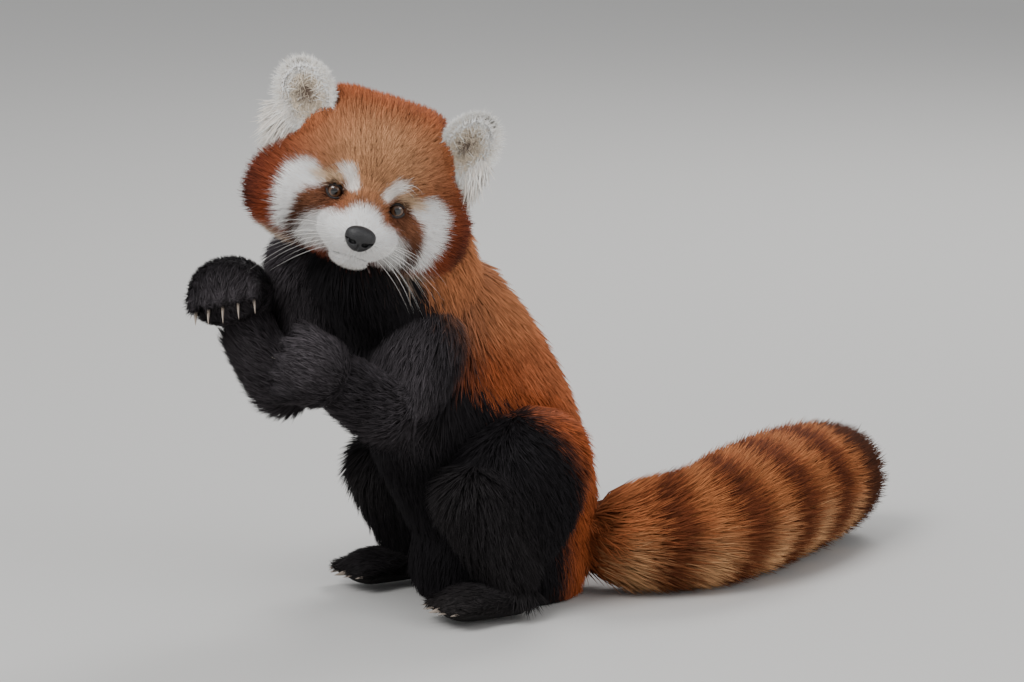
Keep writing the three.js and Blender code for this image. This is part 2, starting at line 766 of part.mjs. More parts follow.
node("head", "face", {
  core: (grow) => skullSolid(grow),
  finish: (solid) => {
    const lids = [lidSolids(-1), lidSolids(1)];
    const lips = [mouthStroke(2.6, -1.2, 2.4), mouthStroke(-2.2, -1.4, 2.2)];
    return Manifold.union([solid, ...lids.map((l) => l.cover), ...lips])
      .subtract(Manifold.union(lids.map((l) => l.opening)))
      .subtract(mouthStroke(0, 0.2, 1.3));
  },
  coat: (grow) => ruff(grow),
});

for (const [side, ear] of Object.entries(EARS)) {
  node("ear_" + side, "ear", { core: (grow) => earSolid(ear, grow), coat: (grow) => earTuft(ear, grow) });
}

for (const [side, arm, fingers, seed] of [
  ["left", LEFT_ARM, LEFT_DIGITS, 50],
  ["right", RIGHT_ARM, RIGHT_DIGITS, 60],
]) {
  node("upper_arm_" + side, "black", {
    core: (grow) => arm.upper.solid(grow),
    coat: (grow) => {
      const keep = clearOf(["upper_" + side]);
      const rows = { rows: 2, round: 6, from: 0.3, to: 0.7, seed };
      return coatOf(arm.upper, { ...rows, keep, shape: LIMB_LOCKS }, grow);
    },
  });
  node("forearm_" + side, "black", {
    core: (grow) => arm.fore.solid(grow),
    coat: (grow) => {
      const keep = clearOf(["fore_" + side], { margin: 1 });
      const rows = { rows: 2, round: 5, from: 0.15, to: 0.55, seed: seed + 1 };
      return coatOf(arm.fore, { ...rows, keep, shape: LIMB_LOCKS }, grow);
    },
  });
  node("forepaw_" + side, "black", {
    core: (grow) => Manifold.union([arm.paw.solid(grow), ...digits(arm.paw, fingers, grow)]),
  });
}

for (const [side, hind, seed] of [
  ["left", LEFT_LEG, 70],
  ["right", RIGHT_LEG, 80],
]) {
  node("thigh_" + side, "black", {
    floor: true,
    core: (grow) => hind.thigh.solid(grow),
    coat: (grow) => {
      const keep = clearOf(["thigh_" + side], { margin: 4 });
      const rows = { rows: 3, round: 7, from: 0.3, to: 0.88, seed };
      return coatOf(hind.thigh, { ...rows, against: true, droop: 1, keep, shape: THIGH_LOCKS }, grow);
    },
  });
  node("shin_" + side, "black", {
    floor: true,
    core: (grow) => hind.shin.solid(grow),
    coat: (grow) => {
      const keep = clearOf(["shin_" + side]);
      const rows = { rows: 2, round: 6, from: 0.3, to: 0.65, seed: seed + 1 };
      return coatOf(hind.shin, { ...rows, keep, shape: LIMB_LOCKS }, grow);
    },
  });
  node("hindfoot_" + side, "black", {
    floor: true,
    core: (grow) => Manifold.union([hind.foot.solid(grow), ...digits(hind.foot, FOOT_DIGITS, grow)]),
  });
}

// The tail is one form, parted by flat cuts across its path
function tailPart(solid, from, to) {
  const cut = (share, sign) => {
    const f = TAIL.at(share);
    const normal = f.along.clone().multiplyScalar(sign);
    return [[normal.x, normal.y, normal.z], normal.dot(f.centre) + GAP / 2];
  };
  let part = solid;
  if (from > 0) part = part.trimByPlane(...cut(from, 1));
  if (to < 1) part = part.trimByPlane(...cut(to, -1));
  return part;
}

node("tail", "tailRing", {
  floor: true,
  core: (grow) => TAIL.solid(grow),
  coat: (grow) => {
    const keep = clearOf(["tail"], { margin: 4, floor: -30 });
    const rows = { rows: 8, round: 6, from: 0.17, to: 0.94, seed: 91 };
    return coatOf(TAIL, { ...rows, keep, shape: TAIL_LOCKS }, grow);
  },
});

for (const side of ["left", "right"]) {
  const sign = side === "left" ? 1 : -1;
  node("eye_" + side, "eye", { core: (grow) => eyeSolid(sign, grow) });
}
node("nose", "nose", { core: (grow) => noseSolid(grow) });

// Parts the body into its nodes, a gap apart
const EYES_AND_NOSE = ["eye_left", "eye_right", "nose"];

function cutAll() {
  const grown = new Map();
  const grownCoat = new Map();
  for (const n of NODES) {
    grown.set(n.name, n.core(GAP));
    const locks = n.coat(GAP);
    grownCoat.set(n.name, locks.length ? Manifold.union(locks) : null);
  }
  return NODES.map((n, i) => {
    let core = n.core(0);
    const before = NODES.slice(0, i).filter((m) => !EYES_AND_NOSE.includes(n.name) || m.name !== "head");
    for (const m of before) core = core.subtract(grown.get(m.name));
    if (n.name === "head") {
      core = n.finish(core);
      for (const m of EYES_AND_NOSE) core = core.subtract(grown.get(m));
    }
    let whole = core;
    const locks = n.coat(0);
    if (locks.length) {
      let coat = Manifold.union(locks);
      const others = NODES.filter((m) => m !== n).map((m) => grown.get(m.name));
      const coats = before.map((m) => grownCoat.get(m.name)).filter((m) => m !== null);
      for (const m of [...others, ...coats]) coat = coat.subtract(m);
      whole = Manifold.union([core, coat]);
    }
    if (n.floor) whole = whole.trimByPlane([0, 0, 1], 0);
    return { name: n.name, material: n.material, solid: whole };
  });
}

const panda = new THREE.Group();

function show(name, material, solid) {
  const mesh = new THREE.Mesh(
    geometryOf(largestOf(solid)),
    new THREE.MeshStandardMaterial({ ...COLOURS[material], metalness: 0 }),
  );
  mesh.name = name;
  panda.add(mesh);
}

for (const { name, material, solid } of cutAll()) {
  if (name !== "tail") {
    show(name, material, solid);
    continue;
  }
  const ends = [0, ...TAIL_CUTS, 1];
  ["root", "middle", "far", "tip"].forEach((label, i) => {
    show("tail_" + label, material, tailPart(solid, ends[i], ends[i + 1]));
  });
}

export default panda;
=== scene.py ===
"""A life-size museum model of a red panda, sitting up with its right forepaw raised.

One skin carries the whole body. Over it lies the coat, many thousands of tapering tufts that follow the
lie of the hair. Eyes, lids, nose, ears, claws and whiskers are pieces of their own.
Lengths are written in millimetres and are turned into metres when a mesh is made.
"""

import logging
import math
from dataclasses import dataclass, field
from enum import Enum
from typing import Any, ClassVar

import bpy
import numpy as np
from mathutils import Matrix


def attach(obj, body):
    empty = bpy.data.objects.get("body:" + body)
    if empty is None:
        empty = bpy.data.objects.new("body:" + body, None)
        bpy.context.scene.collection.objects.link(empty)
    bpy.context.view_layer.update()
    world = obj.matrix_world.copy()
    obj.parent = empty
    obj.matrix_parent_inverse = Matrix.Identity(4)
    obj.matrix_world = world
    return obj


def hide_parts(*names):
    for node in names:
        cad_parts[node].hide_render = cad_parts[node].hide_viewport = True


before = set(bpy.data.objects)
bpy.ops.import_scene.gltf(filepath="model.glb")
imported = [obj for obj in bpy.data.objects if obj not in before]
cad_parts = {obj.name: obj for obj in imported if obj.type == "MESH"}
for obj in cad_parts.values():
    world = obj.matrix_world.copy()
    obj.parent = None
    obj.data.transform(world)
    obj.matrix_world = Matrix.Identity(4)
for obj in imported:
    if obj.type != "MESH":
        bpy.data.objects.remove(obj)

LOG = logging.getLogger("red_panda")
Array = np.ndarray
Chance = np.random.Generator

HIP_YAW = math.radians(60)
FORWARD = np.array([-math.sin(HIP_YAW), -math.cos(HIP_YAW), 0.0])
LEFT = np.array([math.cos(HIP_YAW), -math.sin(HIP_YAW), 0.0])
UP = np.array([0.0, 0.0, 1.0])


class Slot(str, Enum):
    """The record's material slots."""

    RUST = "rust_fur"
    FACE = "face_fur"
    BLACK = "black_fur"
    TAIL = "tail_fur"
    CLAW = "claw"
    WHISKER = "whisker"
    EYE = "eye"
    NOSE = "nose"


# Plain numeric helpers


def unit(v: Array) -> Array:
    """Scales vectors to length 1.

    Args:
        v: vectors along the last axis.

    Returns:
        The unit vectors.
    """
    return v / np.maximum(np.linalg.norm(v, axis=-1, keepdims=True), 1e-9)


def soft(x: Array, low: float, high: float) -> Array:
    """A smooth step, 0 at low and 1 at high.

    Args:
        x: values.
        low: where the step starts.
        high: where it ends; it may be less than low.

    Returns:
        Values from 0 to 1.
    """
    t = np.clip((x - low) / (high - low), 0.0, 1.0)
    return t * t * (3 - 2 * t)


def blend(a: Array | tuple, b: Array | tuple, weight: Array) -> Array:
    """Mixes two colours or vectors by a weight per row.

    Args:
        a: the value where the weight is 0.
        b: the value where it is 1.
        weight: one number per row.

    Returns:
        The mixed rows.
    """
    w = np.asarray(weight)[..., None]
    return np.asarray(a) * (1 - w) + np.asarray(b) * w


def sideways(v: Array, normal: Array) -> Array:
    """The part of a direction that lies in a surface.

    Args:
        v: directions.
        normal: unit normals.

    Returns:
        Unit directions along the surface.
    """
    return unit(v - np.sum(v * normal, -1, keepdims=True) * normal)


def stroke(s: Array, u: Array, points: list[tuple]) -> Array:
    """Distance in the face's plane to a line through points.

    Args:
        s: places across the face.
        u: places up the face.
        points: the line's corners as (s, u) pairs.

    Returns:
        The distance of each place to the line.
    """
    best = np.full(s.shape, 1e9)
    for (s0, u0), (s1, u1) in zip(points, points[1:]):
        ds, du = s1 - s0, u1 - u0
        t = np.clip(((s - s0) * ds + (u - u0) * du) / (ds * ds + du * du), 0, 1)
        best = np.minimum(best, np.hypot(s - s0 - t * ds, u - u0 - t * du))
    return best


def ripple(p: Array, scale: float, seed: float) -> Array:
    """A smooth, wandering value over space, made of a few crossed sine waves.

    Args:
        p: points.
        scale: size of the waves.
        seed: shifts the pattern.

    Returns:
        Values of about -1 to 1.
    """
    q = p / scale
    a = np.sin(q[..., 0] * 1.7 + seed + 1.3 * np.sin(q[..., 1] * 1.1 + seed))
    b = np.sin(q[..., 1] * 1.9 + 2 * seed + 1.1 * np.sin(q[..., 2] * 1.3))
    c = np.sin(q[..., 2] * 1.5 - seed + 1.2 * np.sin(q[..., 0] * 0.9))
    return (a + b + c) / 2.2


def rgb(red: float, green: float, blue: float) -> Array:
    """A screen colour of 0 to 255 a channel as linear light.

    Args:
        red: red channel.
        green: green channel.
        blue: blue channel.

    Returns:
        The linear colour.
    """
    c = np.array([red, green, blue]) / 255.0
    return np.where(c < 0.04045, c / 12.92, ((c + 0.055) / 1.055) ** 2.4)


# Meshes from arrays


def sweep(rings: Array, first: Array, last: Array) -> tuple[Array, Array]:
    """Closes a stack of rings with a point at each end.

    Args:
        rings: rows of points, shape (rows, sides, 3).
        first: the closing point before the first ring.
        last: the closing point after the last one.

    Returns:
        Points and triangles.
    """
    rows, sides = rings.shape[:2]
    points = np.concatenate([first[None], rings.reshape(-1, 3), last[None]])
    i, j = np.meshgrid(np.arange(rows - 1), np.arange(sides), indexing="ij")
    a = 1 + i * sides + j
    b = 1 + i * sides + (j + 1) % sides
    c, d = b + sides, a + sides
    k = np.arange(sides)
    top = np.stack([np.zeros_like(k), 1 + (k + 1) % sides, 1 + k], -1)
    base = 1 + (rows - 1) * sides
    end = np.stack([np.full_like(k, len(points) - 1), base + k, base + (k + 1) % sides], -1)
    body = np.concatenate([np.stack([a, b, c], -1).reshape(-1, 3), np.stack([a, c, d], -1).reshape(-1, 3)])
    return outward(points, np.concatenate([top, body, end]))


def outward(points: Array, triangles: Array) -> tuple[Array, Array]:
    """Turns a closed mesh's faces outward.

    Args:
        points: its points.
        triangles: its triangles.

    Returns:
        Points and triangles.
    """
    p = points[triangles] - points.mean(0)
    volume = np.sum(p[:, 0] * np.cross(p[:, 1], p[:, 2]))
    return points, triangles if volume > 0 else triangles[:, ::-1]


def above_floor(z: Array) -> Array:
    """Lays what would reach through the floor flat upon it.

    Args:
        z: heights.

    Returns:
        Heights of more than 0, the same as before above 3 mm.
    """
    return np.where(z < 3, 0.3 + 2.7 * np.exp((np.minimum(z, 3) - 3) / 2.7), z)


def gather(parts: list[tuple[Array, Array]]) -> tuple[Array, Array]:
    """Puts several meshes into one.

    Args:
        parts: pairs of points and triangles.

    Returns:
        The joined points and triangles.
    """
    starts = np.cumsum([0] + [len(p) for p, _ in parts[:-1]])
    return np.concatenate([p for p, _ in parts]), np.concatenate([t + s for (_, t), s in zip(parts, starts)])


def make_object(name: str, points: Array, triangles: Array, smooth: bool = True) -> bpy.types.Object:
    """Makes an object at the origin from points in millimetres.

    Args:
        name: the object's name.
        points: its points.
        triangles: its triangles.
        smooth: whether it is shaded smooth.

    Returns:
        The new object, linked to the scene.
    """
    mesh = bpy.data.meshes.new(name)
    mesh.vertices.add(len(points))
    mesh.vertices.foreach_set("co", (points * 0.001).astype(np.float32).ravel())
    mesh.loops.add(triangles.size)
    mesh.loops.foreach_set("vertex_index", triangles.astype(np.int32).ravel())
    mesh.polygons.add(len(triangles))
    mesh.polygons.foreach_set("loop_start", np.arange(0, triangles.size, 3, dtype=np.int32))
    mesh.polygons.foreach_set("use_smooth", np.full(len(triangles), smooth))
    mesh.update(calc_edges=True)
    made = bpy.data.objects.new(name, mesh)
    bpy.context.scene.collection.objects.link(made)
    return made


def paint(piece: bpy.types.Object, colours: Array, name: str = "tone") -> None:
    """Stores one colour per point.

    Args:
        piece: the object.
        colours: linear colours, one row per point.
        name: the attribute's name.
    """
    layer = piece.data.color_attributes.new(name, "FLOAT_COLOR", "POINT")
    rgba = np.ones((len(colours), 4), np.float32)
    rgba[:, :3] = colours
    layer.data.foreach_set("color", rgba.ravel())


def points_of(mesh: bpy.types.Mesh) -> Array:
    """The points of a mesh in millimetres.

    Args:
        mesh: the mesh.

    Returns:
        One row per point.
    """
    flat = np.empty(len(mesh.vertices) * 3, np.float32)
    mesh.vertices.foreach_get("co", flat)
    return flat.reshape(-1, 3).astype(float) * 1000.0


# Shader graph


class Socket:
    """A value in a shader graph that takes part in sums."""

    def __init__(self, graph: "Graph", output: bpy.types.NodeSocket) -> None:
        self.graph = graph
        self.output = output

    def __radd__(self, other: float) -> "Socket":
        return self.graph.node("ShaderNodeMath", {"operation": "ADD"}, {0: other, 1: self})

    def __rmul__(self, other: float) -> "Socket":
        return self.graph.node("ShaderNodeMath", {"operation": "MULTIPLY"}, {0: other, 1: self})


class Graph:
    """A material's node tree, built one node at a time."""

    def __init__(self, name: str) -> None:
        self.material = bpy.data.materials.new(name)
        self.material.use_nodes = True
        self.tree = self.material.node_tree
        self.tree.nodes.clear()

    def node(
        self,
        kind: str,
        settings: dict | None = None,
        values: dict | None = None,
        output: int | str = 0,
    ) -> Socket:
        """Adds a node.

        Args:
            kind: the node's type.
            settings: its own properties.
            values: constants or sockets for its inputs, by name or number.
            output: which output to return.

        Returns:
            The chosen output.
        """
        made = self.tree.nodes.new(kind)
        for key, value in (settings or {}).items():
            setattr(made, key, value)
        for key, value in (values or {}).items():
            if isinstance(value, Socket):
                self.tree.links.new(value.output, made.inputs[key])
            else:
                made.inputs[key].default_value = value
        return Socket(self, made.outputs[output])

    def colour(self, name: str = "tone") -> Socket:
        """The colour stored on the mesh.

        Args:
            name: the attribute's name.

        Returns:
            Its colour socket.
        """
        return self.node("ShaderNodeAttribute", {"attribute_name": name}, output="Color")

    def place(self) -> Socket:
        """Where a point lies on the piece, in metres.

        Returns:
            The object coordinates.
        """
        return self.node("ShaderNodeTexCoord", output="Object")

    def noise(self, scale: float, detail: float = 2.0) -> Socket:
        """Noise over the object.

        Args:
            scale: waves a metre.
            detail: octaves.

        Returns:
            The noise value.
        """
        values = {"Vector": self.place(), "Scale": scale, "Detail": detail}
        return self.node("ShaderNodeTexNoise", values=values)

    def shade(self, colour: Socket, strength: Socket) -> Socket:
        """Scales a colour by a number.

        Args:
            colour: the colour.
            strength: the number.

        Returns:
            The scaled colour.
        """
        return self.node("ShaderNodeVectorMath", {"operation": "SCALE"}, {0: colour, "Scale": strength})

    def bump(self, height: Socket, depth: float, strength: float) -> Socket:
        """Turns a height into a normal.

        Args:
            height: the height.
            depth: metres from 0 to 1.
            strength: how much it shows.

        Returns:
            The normal.
        """
        return self.node("ShaderNodeBump", values={"Height": height, "Distance": depth, "Strength": strength})

    def finish(self, **values: Any) -> bpy.types.Material:
        """Closes the tree with one surface.

        Args:
            values: the surface's inputs, with underscores for spaces.

        Returns:
            The material.
        """
        named = {key.replace("_", " "): value for key, value in values.items()}
        self.node_out(self.node("ShaderNodeBsdfPrincipled", values=named))
        return self.material

    def node_out(self, surface: Socket) -> None:
        """Links a surface to the material's output.

        Args:
            surface: the surface.
        """
        out = self.tree.nodes.new("ShaderNodeOutputMaterial")
        self.tree.links.new(surface.output, out.inputs["Surface"])


@dataclass(frozen=True)
class HairFinish:
    """Hair that takes its colour from the piece."""

    name: str
    roughness: float = 0.6
    gloss: float = 0.1

    def material(self) -> bpy.types.Material:
        """Builds the shader.

        Returns:
            The finished material.
        """
        g = Graph(self.name)
        tone = g.shade(g.colour(), 0.86 + 0.28 * g.noise(260.0))
        return g.finish(
            Base_Color=tone,
            Roughness=self.roughness,
            Specular_IOR_Level=self.gloss,
        )


@dataclass(frozen=True)
class SkinFinish:
    """The skin and underfur below the coat."""

    name: str = "underfur"

    def material(self) -> bpy.types.Material:
        """Builds the shader.

        Returns:
            The finished material.
        """
        g = Graph(self.name)
        tone = g.shade(g.colour(), 0.75 + 0.3 * g.noise(180.0, 4.0))
        height = g.bump(g.noise(900.0, 3.0), 0.0012, 0.6)
        return g.finish(Base_Color=tone, Roughness=0.85, Specular_IOR_Level=0.15, Normal=height)


@dataclass(frozen=True)
class WetFinish:
    """A smooth, wet surface that takes its colour from the piece."""

    name: str
    roughness: float = 0.12
    coat: float = 1.0

    def material(self) -> bpy.types.Material:
        """Builds the shader.

        Returns:
            The finished material.
        """
        g = Graph(self.name)
        return g.finish(
            Base_Color=g.colour(), Roughness=self.roughness, Coat_Weight=self.coat, Coat_Roughness=0.02
        )


@dataclass(frozen=True)
class LeatherFinish:
    """The damp, pebbled skin of the nose and the lid rims."""

    name: str = "nose_leather"
    roughness: float = 0.42

    def material(self) -> bpy.types.Material:
        """Builds the shader.

        Returns:
            The finished material.
        """
        g = Graph(self.name)
        cells = g.node("ShaderNodeTexVoronoi", {"feature": "F1"}, {"Vector": g.place(), "Scale": 1500.0})
        return g.finish(
            Base_Color=g.colour(),
            Roughness=self.roughness,
            Normal=g.bump(cells, 0.0004, 0.6),
            Coat_Weight=0.15,
            Coat_Roughness=0.3,
        )


@dataclass(frozen=True)
class HornFinish:
    """Horn and bristle of one colour."""

    name: str
    tint: tuple[float, float, float]
    roughness: float = 0.35

    def material(self) -> bpy.types.Material:
        """Builds the shader.

        Returns:
            The finished material.
        """
        g = Graph(self.name)
        return g.finish(Base_Color=(*self.tint, 1.0), Roughness=self.roughness)


# The body's lengths


def smooth_path(rows: Array, count: int, even: bool) -> Array:
    """Samples a smooth line through rows of numbers.

    Args:
        rows: the rows it passes through.
        count: how many samples.
        even: True for a line with even tension, False for one whose pace follows the spacing.

    Returns:
        The samples.
    """
    padded = np.concatenate([[2 * rows[0] - rows[1]], rows, [2 * rows[-1] - rows[-2]]])
    x = np.linspace(0, len(rows) - 1, count)
    i = np.minimum(x.astype(int), len(rows) - 2)
    t = (x - i)[:, None]
    p0, p1, p2, p3 = (padded[i + k] for k in range(4))
    if even:
        m1, m2 = (p2 - p0) / 2, (p3 - p1) / 2
    else:
        pairs = ((p0, p1), (p1, p2), (p2, p3))
        d0, d1, d2 = (np.sqrt(np.linalg.norm(b - a, axis=1))[:, None] for a, b in pairs)
        m1 = ((p1 - p0) / d0 - (p2 - p0) / (d0 + d1) + (p2 - p1) / d1) * d1
        m2 = ((p2 - p1) / d1 - (p3 - p1) / (d1 + d2) + (p3 - p2) / d2) * d1
    return p1 + m1 * t + (3 * (p2 - p1) - 2 * m1 - m2) * t**2 + (2 * (p1 - p2) + m1 + m2) * t**3


@dataclass
class Limb:
    """One round length of the body: an oval section carried along a smooth path.

    Stations are rows of x, y, z, half width along the side, and half depth, out to the coat's tips. Depth is
    how far the skin lies under them. Lie is 1 where the hair runs along the path and -1 where it runs back,
    droop is how much it falls, and ends are how long each round end is, as a share of the half width.
    """

    name: str
    nodes: tuple[str, ...]
    stations: tuple
    side: tuple
    depth: float
    lie: float = 1.0
    droop: float = 0.0
    ends: tuple[float, float] = (1.0, 1.0)
    samples: int = 41
    table: dict = field(default_factory=dict)

    def __post_init__(self) -> None:
        rows = np.array(self.stations, float)
        path = smooth_path(rows[:, :3], 600, False)
        size = smooth_path(rows[:, 3:], 600, True)
        steps = np.linalg.norm(np.diff(path, axis=0), axis=1)
        run = np.concatenate([[0], np.cumsum(steps)])
        self.length = run[-1]
        self._run, self._path, self._size = run / run[-1], path, size
        self.table = self.at(np.linspace(0, 1, self.samples))

    def at(self, share: Array) -> dict:
        """The centre, directions and sizes at shares of the length.

        Args:
            share: values from 0 to 1.

        Returns:
            centre, along, side, front (rows of 3), wide and deep.
        """

        def pick(columns: Array, s: Array) -> Array:
            return np.stack([np.interp(s, self._run, c) for c in columns.T], -1)

        centre = pick(self._path, share)
        before, after = (pick(self._path, np.clip(share + step, 0, 1)) for step in (-0.01, 0.01))
        along = unit(after - before)
        side = sideways(np.broadcast_to(np.array(self.side, float), centre.shape), along)
        size = pick(self._size, share)
        front = np.cross(along, side)
        found = {"centre": centre, "along": along, "side": side, "front": front}
        return {**found, "wide": size[:, 0], "deep": size[:, 1]}

    def solid(self, inset: float, rows: int = 56, sides: int = 48) -> tuple[Array, Array]:
        """The closed form, with round ends.

        Args:
            inset: how far it lies under the coat's tips.
            rows: rings along it.
            sides: points in a ring.

        Returns:
            Points and triangles.
        """
        share = 0.5 - 0.5 * np.cos(np.linspace(0, np.pi, rows + 2))[1:-1]
        f = self.at(share)
        first, last = (
            (self._size[k, 0] - inset) * e / self.length for k, e in ((0, self.ends[0]), (-1, self.ends[1]))
        )
        near = 1 - np.clip(share / first, 0, 1)
        far = 1 - np.clip((1 - share) / last, 0, 1)
        shrink = np.sqrt((1 - near**2) * (1 - far**2))
        angle = np.linspace(0, 2 * np.pi, sides, endpoint=False)
        wide = ((f["wide"] - inset) * shrink)[:, None, None]
        deep = ((f["deep"] - inset) * shrink)[:, None, None]
        ring = f["side"][:, None] * np.cos(angle)[None, :, None] * wide
        ring = ring + f["front"][:, None] * np.sin(angle)[None, :, None] * deep
        return sweep(f["centre"][:, None] + ring, self._path[0], self._path[-1])

    def locate(self, p: Array) -> dict:
        """Where points lie along and round the limb.

        Args:
            p: points.

        Returns:
            share, the angle round from the side, the nearest directions, and the distance to the coat's tips.
        """
        t = self.table
        gap = np.linalg.norm(p[:, None] - t["centre"][None], axis=2)
        k = gap.argmin(1)
        off = p - t["centre"][k]
        across = np.sum(off * t["side"][k], 1)
        ahead = np.sum(off * t["front"][k], 1)
        beyond = np.abs(np.sum(off * t["along"][k], 1)) - 0.6 * self.length / (self.samples - 1)
        ratio = np.hypot(across / t["wide"][k], ahead / t["deep"][k])
        away = (ratio - 1) * np.minimum(t["wide"][k], t["deep"][k]) + np.maximum(beyond, 0) * 0.5
        return {
            "share": k / (self.samples - 1),
            "angle": np.arctan2(ahead, across),
            "along": t["along"][k],
            "away": away,
        }


LEG_INWARD = 14.0


def mirrored(rows: tuple) -> tuple:
    """The same length on the trunk's other side, a little closer in.

    Args:
        rows: stations.

    Returns:
        The mirrored stations.
    """
    r = np.array(rows, float)
    lateral = r[:, :3] @ LEFT
    r[:, :3] += (-2 * lateral + LEG_INWARD)[:, None] * LEFT
    return tuple(map(tuple, r))


THIGH = ((40, -36, 70, 38, 54), (26, -48, 78, 44, 64), (4, -66, 94, 42, 60), (-18, -82, 109, 36, 44))
SHIN = ((-24, -86, 106, 30, 32), (-14, -88, 80, 29, 32), (-1, -84, 50, 26, 29), (11, -78, 22, 23, 26))
FOOT = ((21, -72, 15, 17, 16), (1, -84, 15, 20, 16), (-20, -96, 14, 22, 15), (-39, -107, 12, 21, 13))
THIGH_HAIR = {"lie": -0.35, "droop": 1.0, "ends": (0.9, 1)}
SHIN_HAIR = {"lie": 0.5, "droop": 1.0}
TRUNK_SIDE = (0.35, -0.94, 0)
RIGHT_ARM_SIDE = (0.5, -0.8, 0.3)

TORSO = Limb(
    "torso",
    ("torso",),
    (
        (0, 0, -22, 56, 56),
        (0, 0, 22, 64, 68),
        (0, 0, 68, 64, 72),
        (-13, -7, 105, 62, 76),
        (-28, -15, 140, 60, 76),
        (-42, -25, 170, 58, 72),
        (-55, -35, 196, 54, 66),
        (-68, -46, 226, 50, 58),
    ),
    tuple(LEFT),
    11.5,
    lie=-1,
    droop=0.25,
    ends=(0.6, 0.7),
)
NECK = Limb(
    "neck",
    ("neck",),
    ((-58, -38, 196, 46, 52), (-66, -49, 224, 50, 57), (-76, -62, 250, 51, 55), (-84, -74, 276, 46, 46)),
    tuple(LEFT),
    9.0,
    lie=-1,
    droop=0.3,
    ends=(0.7, 0.7),
)
TAIL = Limb(
    "tail",
    ("tail_root", "tail_middle", "tail_far", "tail_tip"),
    (
        (34, 20, 37, 34, 35),
        (84, 2, 39, 39, 39),
        (128, 14, 41, 43, 43),
        (163, 52, 44, 46, 46),
        (193, 102, 46, 46, 46),
        (217, 148, 45, 44, 44),
        (235, 183, 43, 39, 39),
        (244, 201, 41, 32, 32),
    ),
    (0, 0, 1),
    17.0,
    ends=(0.6, 1.1),
)
LEFT_PAW = Limb(
    "paw_left",
    ("forepaw_left",),
    (
        (-102, -126, 167, 22, 21),
        (-114, -132, 175, 27, 23),
        (-128, -137, 182, 28, 23),
        (-140, -138, 186, 23, 19),
    ),
    (-0.3, 0, 1),
    4.6,
)
RIGHT_PAW = Limb(
    "paw_right",
    ("forepaw_right",),
    ((-171, -51, 196, 23, 21), (-177, -57, 213, 30, 26), (-182, -72, 222, 30, 25), (-185, -86, 222, 24, 20)),
    (1, 0, 0.15),
    4.8,
)
LEFT_FOOT = Limb("foot_left", ("hindfoot_left",), FOOT, tuple(LEFT), 3.2)
RIGHT_FOOT = Limb("foot_right", ("hindfoot_right",), mirrored(FOOT), tuple(LEFT), 3.2)
LIMBS = [
    TORSO,
    NECK,
    TAIL,
    LEFT_PAW,
    RIGHT_PAW,
    LEFT_FOOT,
    RIGHT_FOOT,
    Limb(
        "upper_left",
        ("upper_arm_left",),
        ((-42, -56, 210, 25, 28), (-50, -70, 190, 32, 36), (-58, -80, 165, 30, 33), (-64, -86, 142, 27, 28)),
        TRUNK_SIDE,
        7.5,
    ),
    Limb(
        "fore_left",
        ("forearm_left",),
        (
            (-62, -83, 142, 27, 27),
            (-77, -101, 148, 28, 28),
            (-92, -117, 159, 25, 26),
            (-107, -129, 171, 22, 23),
        ),
        TRUNK_SIDE,
        7.0,
        droop=0.25,
    ),
    Limb(
        "upper_right",
        ("upper_arm_right",),
        (
            (-113, -14, 254, 37, 38),
            (-121, -14, 224, 39, 41),
            (-127, -20, 176, 33, 35),
            (-132, -31, 144, 26, 27),
        ),
        RIGHT_ARM_SIDE,
        7.5,
    ),
    Limb(
        "fore_right",
        ("forearm_right",),
        (
            (-131, -30, 142, 26, 26),
            (-146, -39, 156, 27, 27),
            (-160, -47, 176, 25, 25),
            (-172, -54, 198, 22, 22),
        ),
        RIGHT_ARM_SIDE,
        7.0,
        droop=0.4,
    ),
    Limb("thigh_left", ("thigh_left",), THIGH, tuple(LEFT), 11.0, **THIGH_HAIR),
    Limb("thigh_right", ("thigh_right",), mirrored(THIGH), tuple(LEFT), 11.0, **THIGH_HAIR),
    Limb("shin_left", ("shin_left",), SHIN, tuple(LEFT), 7.5, **SHIN_HAIR),
    Limb("shin_right", ("shin_right",), mirrored(SHIN), tuple(LEFT), 7.5, **SHIN_HAIR),
]

PART_NAMES = [limb.name for limb in LIMBS] + ["head"]
FLESH = tuple(n for limb in LIMBS for n in limb.nodes) + ("head",)


# The head


